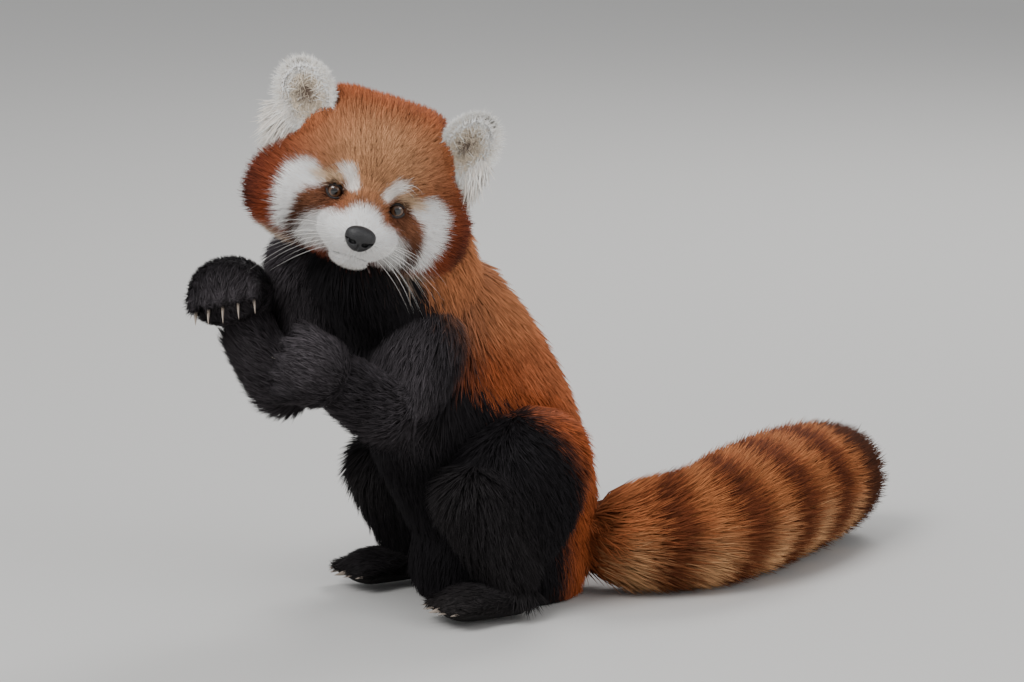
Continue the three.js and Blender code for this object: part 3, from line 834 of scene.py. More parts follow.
class Head:
    """The head's own frame, s to its left, f out of the face, u up, and its rounded forms."""

    EYE_LINE = np.array([-87.1, -126.0, 289.4])
    AHEAD = 38.0
    ROLL = math.radians(18.35)
    CENTRE = np.array([0.0, 16.0, -8.0])
    FORMS = (
        ((0, -2, 7), (64, 50, 57)),
        ((25, -4, 32), (28, 36, 30)),
        ((-25, -4, 32), (28, 36, 30)),
        ((38, 6, -14), (31, 33, 31)),
        ((-38, 6, -14), (31, 33, 31)),
        ((0, 26, 18), (41, 23, 27)),
        ((0, 50, -20), (25, 30, 17)),
        ((0, 42, -6), (15, 24, 13)),
        ((0, 40, -35), (16, 23, 10)),
    )
    SOFTNESS = 9.0
    EYE = np.array([21.0, 34.0, 0.0])
    EYE_RADIUS = 6.5
    NOSE = np.array([0.0, 78.0, -19.0])
    MOUTH = [(-27, -36), (-20, -33.5), (-11, -34.5), (0, -31), (11, -34.5), (20, -33.5), (27, -36)]

    def __init__(self) -> None:
        self.f = unit(np.array([0.07, -0.997, -0.03]))
        self.s = sideways(np.array([math.cos(self.ROLL), 0, -math.sin(self.ROLL)]), self.f)
        self.u = np.cross(self.f, self.s)
        self.origin = self.EYE_LINE - self.AHEAD * self.f
        self.axes = np.stack([self.s, self.f, self.u])

    def out(self, p: Array) -> Array:
        """Head places as places in the row frame.

        Args:
            p: rows of s, f, u.

        Returns:
            Points.
        """
        return self.origin + np.asarray(p, float) @ self.axes

    def turn(self, v: Array) -> Array:
        """Head directions as directions in the row frame.

        Args:
            v: rows of s, f, u.

        Returns:
            Directions.
        """
        return np.asarray(v, float) @ self.axes

    def into(self, p: Array) -> Array:
        """Points as places in the head.

        Args:
            p: points.

        Returns:
            Rows of s, f, u.
        """
        return (p - self.origin) @ self.axes.T

    def away(self, q: Array) -> Array:
        """Distance to the head's outer form, less than 0 inside.

        Args:
            q: rows of s, f, u.

        Returns:
            The distances.
        """
        least = np.full(q.shape[:-1], 1000.0)
        for at, half in self.FORMS:
            p = (q - np.array(at, float)) / np.array(half, float)
            k0 = np.linalg.norm(p, axis=-1)
            k1 = np.maximum(np.linalg.norm(p / np.array(half, float), axis=-1), 1e-9)
            d = k0 * (k0 - 1) / k1
            mix = np.maximum(self.SOFTNESS - np.abs(least - d), 0) / self.SOFTNESS
            least = np.minimum(least, d) - mix * mix * self.SOFTNESS / 4
        return least

    def hair_depth(self, q: Array) -> Array:
        """How far the skin lies under the outer form.

        Args:
            q: rows of s, f, u.

        Returns:
            Depths.
        """
        muzzle = soft(q[..., 1], 34, 62)
        return 4.6 * (1 - muzzle) + 1.7 * muzzle

    def skin(self, rows: int = 120, sides: int = 160) -> tuple[Array, Array]:
        """The head's skin, found along rays from a point inside it.

        Args:
            rows: rings from the nose to the nape.
            sides: points in a ring.

        Returns:
            Points and triangles.
        """
        polar = np.linspace(0, np.pi, rows + 2)[:, None]
        round_ = np.linspace(0, 2 * np.pi, sides, endpoint=False)[None]
        ray = np.stack(
            [np.sin(polar) * np.cos(round_), np.cos(polar) + 0 * round_, np.sin(polar) * np.sin(round_)], -1
        )
        near, far = np.full(ray.shape[:2], 5.0), np.full(ray.shape[:2], 120.0)
        for _ in range(26):
            mid = (near + far) / 2
            q = self.CENTRE + ray * mid[..., None]
            inside = self.away(q) + self.hair_depth(q) < 0
            near, far = np.where(inside, mid, near), np.where(inside, far, mid)
        p = self.out(self.CENTRE + ray * near[..., None])
        return sweep(p[1:-1], p[0, 0], p[-1, 0])

    def surface_ahead(self, s: Array, u: Array, raise_by: float = 0.0) -> Array:
        """The front of the face at places across and up it.

        Args:
            s: places across.
            u: places up.
            raise_by: how far out of the skin.

        Returns:
            Rows of s, f, u.
        """
        s, u = np.broadcast_arrays(np.asarray(s, float), np.asarray(u, float))
        near, far = np.full(s.shape, 10.0), np.full(s.shape, 110.0)
        for _ in range(24):
            mid = (near + far) / 2
            q = np.stack([s, mid, u], -1)
            inside = self.away(q) + self.hair_depth(q) < raise_by
            near, far = np.where(inside, mid, near), np.where(inside, far, mid)
        return np.stack([s, near, u], -1)

    def lie(self, q: Array) -> Array:
        """The way the hair runs: away from the nose, round the eyes, and down the cheeks.

        Args:
            q: rows of s, f, u on the head.

        Returns:
            Directions in the row frame.
        """
        way = unit(q - np.array([0.0, 88.0, -16.0]))
        cheek = soft(np.abs(q[:, 0]), 22, 56) * soft(q[:, 2], 26, -14)
        way = way + np.stack([0.5 * np.sign(q[:, 0]) * cheek, -0.35 * cheek, -0.3 * cheek], -1)
        for side in (-1, 1):
            from_eye = q - self.EYE * np.array([side, 1, 1])
            reach = np.linalg.norm(from_eye * [1, 0.3, 1], axis=1)
            way += unit(from_eye * [1, 0, 1]) * (1.7 * np.exp(-((reach / 9.0) ** 2)))[:, None]
        return self.turn(way)


HEAD = Head()


# Markings


@dataclass(frozen=True)
class Markings:
    """The coat's colours by place. The same formulas colour the skin and every tuft.

    Colours are screen values of 0 to 255. The belly's black ends at each edge, how far forward, at the height
    of the same place in the row. Rings are distances along the tail, with half widths.
    """

    rust: tuple = (156, 80, 45)
    rust_bright: tuple = (176, 102, 66)
    rust_deep: tuple = (118, 64, 44)
    shoulder: tuple = (188, 122, 82)
    black: tuple = (31, 29, 31)
    # Painted sheen: the paler greys mixed into the black of the legs and of the arms and paws stand for the
    # shine of black fur.
    leg_painted_sheen: tuple = (46, 43, 43)
    arm_painted_sheen: tuple = (80, 75, 78)
    white: tuple = (246, 243, 240)
    belly_heights: tuple = (-20, 43, 83, 117, 151, 166, 180, 215, 245, 280)
    belly_edges: tuple = (-22, -19, -11, 1, 30, 62, 64, 76, 100, 128)
    pale_rings: tuple = ((62, 9), (102, 9), (146, 11), (198, 12), (254, 11))
    dark_rings: tuple = ((82, 7), (122, 8), (170, 10), (226, 12))
    tip_run: tuple = (250, 280)

    def head(self, q: Array) -> Array:
        """Colours on the head.

        Args:
            q: rows of s, f, u.

        Returns:
            Linear colours.
        """
        s, f, u = np.abs(q[:, 0]), q[:, 1], q[:, 2]
        tone = np.broadcast_to(rgb(132, 62, 38), q.shape).copy()
        tone = blend(tone, rgb(160, 88, 54), soft(u, 10, 40))
        brow = np.exp(-((s / 36) ** 2) - ((u - 24) / 30) ** 2) * soft(f, -8, 16)
        tone = blend(tone, rgb(190, 138, 100), np.clip(brow * 1.2, 0, 1))
        tone = blend(tone, rgb(160, 84, 50), soft(u, 42, 60) * 0.8)
        side = soft(s, 50, 62) * soft(u, 40, 22)
        tone = blend(tone, blend(rgb(104, 52, 38), rgb(72, 38, 31), soft(u, -4, -26)), side)
        front = soft(f, -14, 2)
        cheek = stroke(s, u, [(35, 5), (41, -1), (43.5, -11), (40, -23)])
        tone = blend(tone, rgb(*self.white), soft(cheek, 9.0, 5.5) * front)
        jaw = soft(u, -30, -38) * soft(s, 18, 30) * soft(s, 58, 46) * front
        tone = blend(tone, rgb(206, 190, 170), jaw * 0.8)
        tear = stroke(s, u, [(27, -7), (32, -14), (33, -25), (27, -35)])
        rusty = blend(rgb(126, 82, 60), rgb(76, 50, 41), soft(u, -8, -26))
        tone = blend(tone, rusty, soft(tear, 8.0, 4.5) * soft(f, 4, 16))
        bridge = stroke(s, u, [(0, -14), (0, -26)]) - 11.0
        muzzle = np.minimum(bridge, np.hypot(s / 31, (u + 25) / 16) * 20 - 20)
        tone = blend(tone, rgb(*self.white), soft(muzzle, 3.0, -1.5) * soft(f, 18, 30))
        chin = soft(u, -36, -41) * soft(s, 24, 16) * soft(f, 20, 34)
        tone = blend(tone, rgb(190, 184, 176), chin)
        spot = stroke(s, u, [(10.5, 6), (14.5, 13.5)])
        tone = blend(tone, rgb(244, 236, 228), soft(spot, 5.4, 2.6) * front)
        over = stroke(s, u, [(20, 8), (30, 6)])
        tone = blend(tone, rgb(222, 190, 155), 0.8 * soft(over, 4.5, 1.8) * front)
        eye = np.hypot((s - 21) / 6.8, u / 6.0)
        tone = blend(tone, rgb(92, 56, 40), 0.8 * soft(eye, 1.25, 0.95) * soft(f, 20, 30))
        throat = soft(u, -38, -45) * soft(f, 50, 36) + soft(u, -28, -40) * soft(f, 6, -6)
        return blend(tone, rgb(*self.black), np.clip(throat, 0, 1))

    def body(self, p: Array) -> Array:
        """Colours on the trunk, neck and thighs: black in front and below, rust behind.

        The border is how far forward the black begins, by height.

        Args:
            p: points.

        Returns:
            Linear colours.
        """
        edge = np.interp(p[:, 2], self.belly_heights, self.belly_edges) + 4 * ripple(p, 20, 2.0)
        back = edge - p @ FORWARD
        tone = blend(rgb(*self.rust_deep), rgb(*self.rust), soft(back, 0, 14))
        tone = blend(tone, rgb(*self.rust_bright), soft(back, 20, 64))
        tone = blend(tone, rgb(*self.shoulder), 0.8 * soft(p[:, 2], 176, 214))
        return blend(rgb(*self.black), tone, soft(back, -6, 6))

    def tail(self, place: dict, length: float) -> Array:
        """Colours on the tail: rust with pale rings and a dark tip.

        Args:
            place: where the points lie on the tail.
            length: the tail's length.

        Returns:
            Linear colours.
        """
        run = place["share"] * length + 15 + 2.5 * np.sin(place["angle"] * 3)
        pale, dark = (
            sum(np.exp(-(((run - middle) / half) ** 2)) for middle, half in rings)
            for rings in (self.pale_rings, self.dark_rings)
        )
        under = soft(np.cos(place["angle"]), 0.4, -0.8)
        tone = blend(rgb(132, 68, 38), rgb(150, 88, 54), under)
        light = blend(rgb(176, 110, 68), rgb(212, 164, 118), under)
        tone = blend(tone, light, np.clip(pale, 0, 1))
        tone = blend(tone, rgb(82, 42, 28), np.clip(dark, 0, 1) * 0.9)
        return blend(tone, rgb(74, 42, 28), soft(run, *self.tip_run))

    def limb(self, p: Array, painted_sheen: tuple) -> Array:
        """Colours on the limbs: black mixed at random with a paler grey, which is painted sheen standing for
        the shine of black fur.

        Args:
            p: points.
            painted_sheen: the palest colour, from 0 to 255, the painted sheen.

        Returns:
            Linear colours.
        """
        return blend(rgb(*self.black), rgb(*painted_sheen), 0.6 + 0.4 * np.clip(ripple(p, 24, 5.0), -1, 1))


MARKINGS = Markings()

# The unwrap: each tile's low corner and its size

TILES = {
    "torso": ((0.01, 0.01), (0.44, 0.38)),
    "neck": ((0.01, 0.42), (0.27, 0.2)),
    "tail": ((0.3, 0.42), (0.3, 0.26)),
    "head": ((0.47, 0.01), (0.52, 0.38)),
}
SMALL_PARTS = [name for name in PART_NAMES if name not in TILES]
TILES.update({name: ((0.01 + 0.082 * k, 0.71), (0.07, 0.27)) for k, name in enumerate(SMALL_PARTS)})
EAR_TILES = {-1: ((0.62, 0.42), (0.17, 0.26)), 1: ((0.81, 0.42), (0.17, 0.26))}

# Where points lie on the body


@dataclass
class Survey:
    """Where points of the skin lie: on which part, how the hair runs there and its colour."""

    points: Array
    CHUNK: ClassVar[int] = 20000
    MELT: ClassVar[float] = 3.0

    def __post_init__(self) -> None:
        n = len(self.points)
        self.places = []
        away = np.empty((n, len(LIMBS) + 1))
        for part in np.array_split(np.arange(n), max(1, n // self.CHUNK)):
            self.places.append([limb.locate(self.points[part]) for limb in LIMBS])
            for k, place in enumerate(self.places[-1]):
                away[part, k] = place["away"] + LIMBS[k].depth
        self.places = [
            {key: np.concatenate([chunk[k][key] for chunk in self.places]) for key in self.places[0][k]}
            for k in range(len(LIMBS))
        ]
        self.q = HEAD.into(self.points)
        away[:, -1] = HEAD.away(self.q) + HEAD.hair_depth(self.q)
        weight = np.exp(-(away - away.min(1, keepdims=True)) / self.MELT)
        self.weight = weight / weight.sum(1, keepdims=True)
        self.owner = away.argmin(1)

    def lie(self) -> Array:
        """Mixes the directions of the parts near each point.

        Returns:
            The way the hair runs at each point.
        """
        total = np.zeros_like(self.points)
        for k, limb in enumerate(LIMBS):
            way = self.places[k]["along"] * limb.lie - UP * limb.droop
            total += unit(way) * self.weight[:, k, None]
        return unit(total + unit(HEAD.lie(self.q)) * self.weight[:, -1, None])

    def tone(self) -> Array:
        """Mixes the markings of the parts near each point, with a soft border between trunk and arms.

        Returns:
            The linear colour at each point.
        """
        # Legs, arms and paws are black with a painted sheen of paler grey.
        leg = MARKINGS.limb(self.points, MARKINGS.leg_painted_sheen)
        arm = MARKINGS.limb(self.points, MARKINGS.arm_painted_sheen)
        body = MARKINGS.body(self.points)
        tones = {"torso": body, "neck": body, "thigh_left": body, "thigh_right": body}
        tones["tail"] = MARKINGS.tail(self.places[PART_NAMES.index("tail")], TAIL.length)
        tones.update({part.name: arm for part in LIMBS if part.name.startswith(("upper", "fore", "paw"))})
        rows = [tones.get(part.name, leg) for part in LIMBS] + [MARKINGS.head(self.q)]
        share = self.weight**0.6
        share[:, -1] = self.weight[:, -1] ** 2
        share /= share.sum(1, keepdims=True)
        return sum(row * share[:, k, None] for k, row in enumerate(rows))

    def spread(self) -> Array:
        """Unwraps the skin, one tile for each part.

        Returns:
            Each point's place on the unwrap.
        """
        uv = np.zeros((len(self.points), 2))
        for k, place in enumerate([*self.places, None]):
            mine = self.owner == k
            if place is None:
                ray = unit(self.q[mine] - HEAD.CENTRE)
                a = np.arctan2(ray[:, 0], ray[:, 1]) / (2 * np.pi) + 0.5
                b = np.arccos(np.clip(ray[:, 2], -1, 1)) / np.pi
            else:
                a = place["angle"][mine] / (2 * np.pi) + 0.5
                b = place["share"][mine]
            low, size = TILES[PART_NAMES[k]]
            uv[mine] = np.array(low) + np.stack([a, b], -1) * np.array(size)
        return uv


# Tufts, with their rings as (share of the length, share of the width)

BENT = ((0.4, 1.0),)
STRAIGHT = ((0.0, 1.0),)
KEY_SPAN = 400  # more cells than the model is wide
PATCH = 0.0015  # half of a tuft's patch on the unwrap


@dataclass
class Tufts:
    """Tapering locks of hair, each a closed form of three sides.

    Each field holds one row or number per tuft: where it grows, the surface's normal, the way it lies, its
    length and width, its colour, and its place on the unwrap. Long hair bends: its rings lie part of the way
    up. Short hair is straight: its one ring lies at the root.
    """

    root: Array
    normal: Array
    lie: Array
    length: Array
    width: Array
    tone: Array
    uv: Array
    lift: Array | float = 36.0
    settle: float = 12.0
    sink: float = 1.2
    clump: Array | float = 0.0
    cell: float = 7.0
    root_shade: Array | float = 0.55
    tip_shade: float = 1.15
    roundness: Array | float = 0.45
    facing: Array | None = None
    rings: tuple = BENT

    def mesh(self) -> tuple[Array, Array, Array, Array, Array]:
        """Builds every tuft from rings of three along a bent line, with a point at its tip.

        The line starts at the lift's angle and ends at the settled one. A tuft whose first ring lies up from
        the root has a point there too.

        Returns:
            Points, triangles, a colour, a place on the unwrap and a normal for each point.
        """
        n, k = len(self.root), len(self.rings)
        first = int(self.rings[0][0] > 0)
        lie = sideways(self.lie, self.normal)
        rise = np.radians(np.broadcast_to(self.lift, n))[:, None]
        fall = math.radians(self.settle)
        start = lie * np.cos(rise) + self.normal * np.sin(rise)
        end = lie * math.cos(fall) + self.normal * math.sin(fall)
        root = self.root - start * self.sink
        whole = (self.length + self.sink)[:, None]
        pull = self.gathered(root + whole * (start + end) / 2) * np.broadcast_to(self.clump, n)[:, None]
        side = unit(np.cross(start, self.normal))
        angle = np.radians([90.0, 210.0, 330.0])
        points = np.empty((n, first + 3 * k + 1, 3))
        points[:, 0] = root
        around = np.zeros(points.shape)
        for i, (t, w) in enumerate(self.rings):
            centre = root + whole * (start * t + (end - start) * (t * t / 2)) + pull * (t * t)
            top = np.cross(side, unit(start * (1 - t) + end * t))
            half = (self.width * w / 2)[:, None]
            for j, a in enumerate(angle):
                ray = side * math.cos(a) + top * math.sin(a)
                points[:, first + 3 * i + j] = centre + half * ray * (1.0 if j else 0.7)
                around[:, first + 3 * i + j] = ray
        points[:, -1] = root + whole * (start + end) / 2 + pull
        points[..., 2] = above_floor(points[..., 2])
        triangles = self.faces(k, first, points[0])[None] + (np.arange(n) * points.shape[1])[:, None, None]
        t = np.array([0.0] * first + [r for r, _ in self.rings for _ in range(3)] + [1.0])
        dark = np.broadcast_to(self.root_shade, n)[:, None]
        shade = dark + (self.tip_shade - dark) * t
        tone = self.tone[:, None] * shade[..., None]
        patch = np.stack([np.array([0.0] * first + list(np.cos(angle)) * k + [0.0]), 2 * t - 1], -1) * PATCH
        uv = self.uv[:, None] + patch[None]
        facing = self.normal if self.facing is None else self.facing
        normal = unit(facing[:, None] + np.broadcast_to(self.roundness, n)[:, None, None] * around)
        rows = (points, tone, normal)
        points, tone, normal = (r.reshape(-1, 3) for r in rows)
        return points, triangles.reshape(-1, 3), tone, uv.reshape(-1, 2), normal

    def faces(self, k: int, first: int, sample: Array) -> Array:
        """One tuft's triangles.

        Args:
            k: how many rings it has.
            first: 1 where a point closes its root, 0 where its first ring does.
            sample: the points of one tuft, to turn the faces outward.

        Returns:
            The triangles.
        """
        body = [(0, 1 + (j + 1) % 3, 1 + j) for j in range(3)] if first else [(0, 2, 1)]
        for i in range(k - 1):
            low, high = first + 3 * i, first + 3 + 3 * i
            body += [(low + j, low + (j + 1) % 3, high + (j + 1) % 3) for j in range(3)]
            body += [(low + j, high + (j + 1) % 3, high + j) for j in range(3)]
        last = first + 3 * (k - 1)
        body += [(last + j, last + (j + 1) % 3, last + 3) for j in range(3)]
        return outward(sample, np.array(body))[1]

    def gathered(self, tips: Array) -> Array:
        """How far each tip is from the middle of its neighbours, to which it is drawn in locks.

        Args:
            tips: the tips.

        Returns:
            The shift of each tip.
        """
        wobble = np.stack([ripple(tips, 30, s) for s in (1.0, 3.0, 5.0)], -1) * 2.5
        key = np.floor((tips + wobble) / self.cell).astype(int)
        key -= key.min(0)
        flat = (key[:, 0] * KEY_SPAN + key[:, 1]) * KEY_SPAN + key[:, 2]
        _, group, count = np.unique(flat, return_inverse=True, return_counts=True)
        middle = np.stack([np.bincount(group, tips[:, c]) / count for c in range(3)], -1)
        return middle[group] - tips

    def build(self, name: str, most: int = 190000) -> list[bpy.types.Object]:
        """Makes the objects, as many as it takes to keep each one within the given number of triangles.

        Args:
            name: their name.
            most: triangles in one object.

        Returns:
            The objects.
        """
        points, triangles, tone, uv, normal = self.mesh()
        per_tuft = len(points) // len(self.root)
        faces_per = len(triangles) // len(self.root)
        pieces = []
        count = math.ceil(len(triangles) / most)
        for k, part in enumerate(np.array_split(np.arange(len(self.root)), count)):
            rows = slice(part[0] * per_tuft, (part[-1] + 1) * per_tuft)
            faces = triangles[part[0] * faces_per : (part[-1] + 1) * faces_per] - rows.start
            piece = make_object(f"{name}_{k + 1}" if count > 1 else name, points[rows], faces)
            paint(piece, tone[rows])
            layer = piece.data.uv_layers.new(name="OFBake")
            layer.data.foreach_set("uv", uv[rows][faces.ravel()].astype(np.float32).ravel())
            piece.data.normals_split_custom_set_from_vertices(normal[rows])
            pieces.append(piece)
        return pieces


def settle(piece: bpy.types.Object, material: bpy.types.Material, slot: Slot, nodes: tuple) -> None:
    """Gives a piece its material, hangs it on the root and hides the solid's parts that it takes the place
    of.

    Args:
        piece: the object.
        material: its material.
        slot: its slot in the record; not used.
        nodes: the solid's nodes that it takes the place of.
    """
    piece.data.materials.append(material)
    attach(piece, "root")
    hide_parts(*nodes)
    LOG.info("%s: %d triangles", piece.name, len(piece.data.polygons))


# Digits and claws


@dataclass(frozen=True)
class Digits:
    """Five toes fanned out over the end of a paw, each with a claw.

    They start at a share of the paw's length, stand apart and reach ahead. Their curl is a step to the
    side, to the front and ahead.
    """

    paw: Limb
    start: float
    apart: float
    reach: float
    curl: tuple
    radius: float
    claw: float
    fan: float = 0.35
    CLAW_SHARES: ClassVar[tuple] = (0.8, 0.95, 1.05, 1.0, 0.85)
    CLAW_RADIUS: ClassVar[float] = 1.9

    def layout(self) -> list[tuple[Array, Array, Array, Array]]:
        """Fans the toes out from one place on the paw.

        Returns:
            For each toe its root, its bend, its end and the way it curls.
        """
        f = {k: v[0] for k, v in self.paw.at(np.array([self.start])).items()}
        last = self.paw.at(np.array([1.0]))["centre"][0]
        ahead = unit(last - f["centre"])
        bend = f["side"] * self.curl[0] + f["front"] * self.curl[1] + ahead * self.curl[2]
        made = []
        for i in range(-2, 3):
            root = f["centre"] + f["side"] * i * self.apart * 0.9 - ahead * 1.1 * i * i
            tip = root + unit(ahead + f["side"] * i * self.fan / 2) * self.reach
            made.append((root, tip, tip + bend, bend))
        return made

    def toes(self) -> list[tuple[Array, Array]]:
        """Shapes the toes that the skin takes in.

        Returns:
            Points and triangles of each toe.
        """
        r = self.radius
        made = []
        for root, tip, end, bend in self.layout():
            rows = tuple((*p, r - 0.5 * k, r - 0.5 * k) for k, p in enumerate((root, tip, end)))
            made.append(Limb("toe", (), rows, tuple(np.cross(bend, tip - root)), 0).solid(0.8, 20, 20))
        return made

    def claws(self) -> tuple[Array, Array]:
        """Shapes the curved claws as one mesh.

        Returns:
            Points and triangles.
        """
        parts = []
        for (root, tip, end, bend), share in zip(self.layout(), self.CLAW_SHARES):
            first = unit(unit(bend) + 0.5 * unit(tip - root))
            last = unit(bend)
            t = np.linspace(0, 0.97, 14)[:, None]
            length = self.claw * share + 3
            line = (end - first * 3) + first * t * length + (last - first) * 0.5 * t * t * length
            along = unit(first * (1 - t) + last * t)
            side = unit(np.cross(along, unit(tip - root) + 0.01))
            top = np.cross(along, side)
            a = np.linspace(0, 2 * np.pi, 14, endpoint=False)[None, :, None]
            radius = (self.CLAW_RADIUS * (1 - t) ** 0.7)[:, None]
            ring = line[:, None] + side[:, None] * np.cos(a) * radius * 0.62
            ring = ring + top[:, None] * np.sin(a) * radius
            parts.append(sweep(ring, line[0] - along[0], line[-1] + along[-1] * 0.5))
        return gather(parts)


DIGITS = {
    "forepaw_left": Digits(LEFT_PAW, 0.55, 9.0, 17, (0, 9, 3), 6.4, 8),
    "forepaw_right": Digits(RIGHT_PAW, 0.62, 8.5, 15.5, (0, -11, 2), 6.0, 12),
    "hindfoot_left": Digits(LEFT_FOOT, 0.72, 8.8, 18, (0, 0, 5), 5.4, 6, 0.2),
    "hindfoot_right": Digits(RIGHT_FOOT, 0.72, 8.8, 18, (0, 0, 5), 5.4, 6, 0.2),
}


class Claws:
    """The horn claws of all four feet."""

    def build(self) -> None:
        """Makes one piece for each foot."""
        horn = HornFinish("horn", (0.36, 0.3, 0.25)).material()
        for node, digits in DIGITS.items():
            piece = make_object("claws_" + node, *digits.claws())
            settle(piece, horn, Slot.CLAW, (node,))


# Skin


@dataclass
class Skin:
    """The one skin of the whole body."""

    grain: float = 2.0

    def build(self) -> bpy.types.Object:
        """Joins the body's forms into one surface.

        Returns:
            The skin.
        """
        parts = [limb.solid(limb.depth) for limb in LIMBS] + [HEAD.skin()]
        parts += [toe for digits in DIGITS.values() for toe in digits.toes()]
        points, triangles = gather(parts)
        rough = make_object("rough_skin", points, triangles)
        remesh = rough.modifiers.new("join", "REMESH")
        remesh.mode = "VOXEL"
        remesh.voxel_size = self.grain * 0.001
        smooth = rough.modifiers.new("soften", "SMOOTH")
        smooth.iterations = 3
        smooth.factor = 0.5
        graph = bpy.context.evaluated_depsgraph_get()
        mesh = bpy.data.meshes.new_from_object(rough.evaluated_get(graph))
        bpy.data.objects.remove(rough)
        mesh.name = "skin"
        p = points_of(mesh)
        p[:, 2] = np.maximum(p[:, 2], 0.0)
        p = self.carved(self.eased(mesh, p))
        mesh.vertices.foreach_set("co", (p * 0.001).astype(np.float32).ravel())
        mesh.polygons.foreach_set("use_smooth", np.ones(len(mesh.polygons), bool))
        mesh.update()
        skin = bpy.data.objects.new("skin", mesh)
        bpy.context.scene.collection.objects.link(skin)
        self.survey = Survey(p)
        paint(skin, self.survey.tone() * 0.6)
        settle(skin, SkinFinish().material(), Slot.RUST, FLESH)
        return skin

    def eased(self, mesh: bpy.types.Mesh, p: Array, rounds: int = 28) -> Array:
        """Melts the folds between trunk and limbs, and leaves head, paws and feet as they are.

        Args:
            mesh: the skin's mesh.
            p: its points.
            rounds: how often each point moves half way to the middle of its neighbours.

        Returns:
            The moved points.
        """
        edges = np.empty(len(mesh.edges) * 2, np.int32)
        mesh.edges.foreach_get("vertices", edges)
        a, b = edges.reshape(-1, 2).T
        count = np.bincount(a, minlength=len(p)) + np.bincount(b, minlength=len(p))
        survey = Survey(p)
        firm = [k for k, n in enumerate(PART_NAMES) if n.startswith(("paw", "foot", "head"))]
        free = (1 - survey.weight[:, firm].sum(1))[:, None] * soft(p[:, 2:3], 1.0, 8.0)
        for _ in range(rounds):
            middle = np.stack(
                [
                    np.bincount(a, p[b, c], minlength=len(p)) + np.bincount(b, p[a, c], minlength=len(p))
                    for c in range(3)
                ],
                -1,
            ) / count[:, None]
            p = p + (middle - p) * 0.5 * free
        return p

    def carved(self, p: Array) -> Array:
        """Sinks the skin behind the eyes and along the mouth.

        Args:
            p: the skin's points.

        Returns:
            The moved points.
        """
        q = HEAD.into(p)
        s, u = np.abs(q[:, 0]), q[:, 2]
        off = np.hypot(s - HEAD.EYE[0], u)
        ball = HEAD.EYE[1] + np.sqrt(np.maximum(HEAD.EYE_RADIUS**2 - off**2, 0))
        edge = np.hypot((s - HEAD.EYE[0]) / 6.0, u / 5.2)
        lid = HEAD.EYE[1] + 3.6 - 0.75 * np.maximum(off - 5.2, 0)
        near = (q[:, 1] > 20) & (off < 14)
        q[:, 1] = np.where(near & (edge >= 1), np.maximum(q[:, 1], lid), q[:, 1])
        q[:, 1] = np.where(near & (edge < 1), np.minimum(q[:, 1], ball - 1.2), q[:, 1])
        mouth = stroke(q[:, 0], u, Head.MOUTH)
        groove = soft(mouth, 2.6, 0.4) * soft(q[:, 1], 30, 45)
        q[:, 1] -= 1.8 * groove
        return HEAD.out(q)


# The coat

EAR_ROOT = np.array([50.0, 14.0, 40.0])
EAR_CLEAR = 18.0
HAIR = {
    Slot.RUST: {"roughness": 0.65, "gloss": 0.07},
    Slot.FACE: {"roughness": 0.7, "gloss": 0.05},
    Slot.BLACK: {"roughness": 0.6, "gloss": 0.06},
    Slot.TAIL: {"roughness": 0.7, "gloss": 0.05},
}


@dataclass
class Region:
    """How the hair grows on some of the body's parts: lengths in millimetres, lift and settle in degrees."""

    name: str
    parts: tuple[str, ...]
    slot: Slot
    nodes: tuple[str, ...]
    count: int
    length: float
    width: float
    lift: float = 34.0
    settle: float = 12.0
    clump: float = 0.3
    cell: float = 6.0
    varied: float = 0.14
    ragged: float = 3.0
    roundness: float = 0.5
    rings: tuple = BENT


REGIONS = [
    Region(
        "coat_trunk",
        ("torso", "neck"),
        Slot.RUST,
        ("torso", "neck"),
        56000,
        23,
        1.3,
        lift=25,
        settle=7,
        clump=0.22,
        varied=0.17,
    ),
    Region(
        "coat_tail",
        ("tail",),
        Slot.TAIL,
        TAIL.nodes,
        42000,
        32,
        1.35,
        lift=44,
        settle=18,
        varied=0.2,
        ragged=2.0,
        roundness=0.7,
    ),
    Region(
        "coat_arms",
        ("upper_left", "fore_left", "upper_right", "fore_right"),
        Slot.BLACK,
        ("upper_arm_left", "forearm_left", "upper_arm_right", "forearm_right"),
        33000,
        16,
        1.15,
        lift=22,
        settle=14,
        varied=0.4,
        roundness=0.9,
        rings=STRAIGHT,
    ),
    Region(
        "coat_paws",
        ("paw_left", "paw_right", "foot_left", "foot_right"),
        Slot.BLACK,
        ("forepaw_left", "forepaw_right", "hindfoot_left", "hindfoot_right"),
        22000,
        7,
        0.9,
        lift=24,
        settle=16,
        clump=0.2,
        varied=0.4,
        roundness=0.9,
        rings=STRAIGHT,
    ),
    Region(
        "coat_legs",
        ("thigh_left", "thigh_right", "shin_left", "shin_right"),
        Slot.BLACK,
        ("thigh_left", "thigh_right", "shin_left", "shin_right"),
        36000,
        19,
        1.25,
        lift=20,
        settle=12,
        varied=0.4,
        roundness=0.8,
        rings=STRAIGHT,
    ),
    Region(
        "coat_head",
        ("head",),
        Slot.FACE,
        ("head",),
        100000,
        12.5,
        0.9,
        lift=32,
        settle=18,
        clump=0.34,
        cell=3.4,
        varied=0.36,
        ragged=0.9,
        roundness=0.9,
        rings=STRAIGHT,
    ),
]


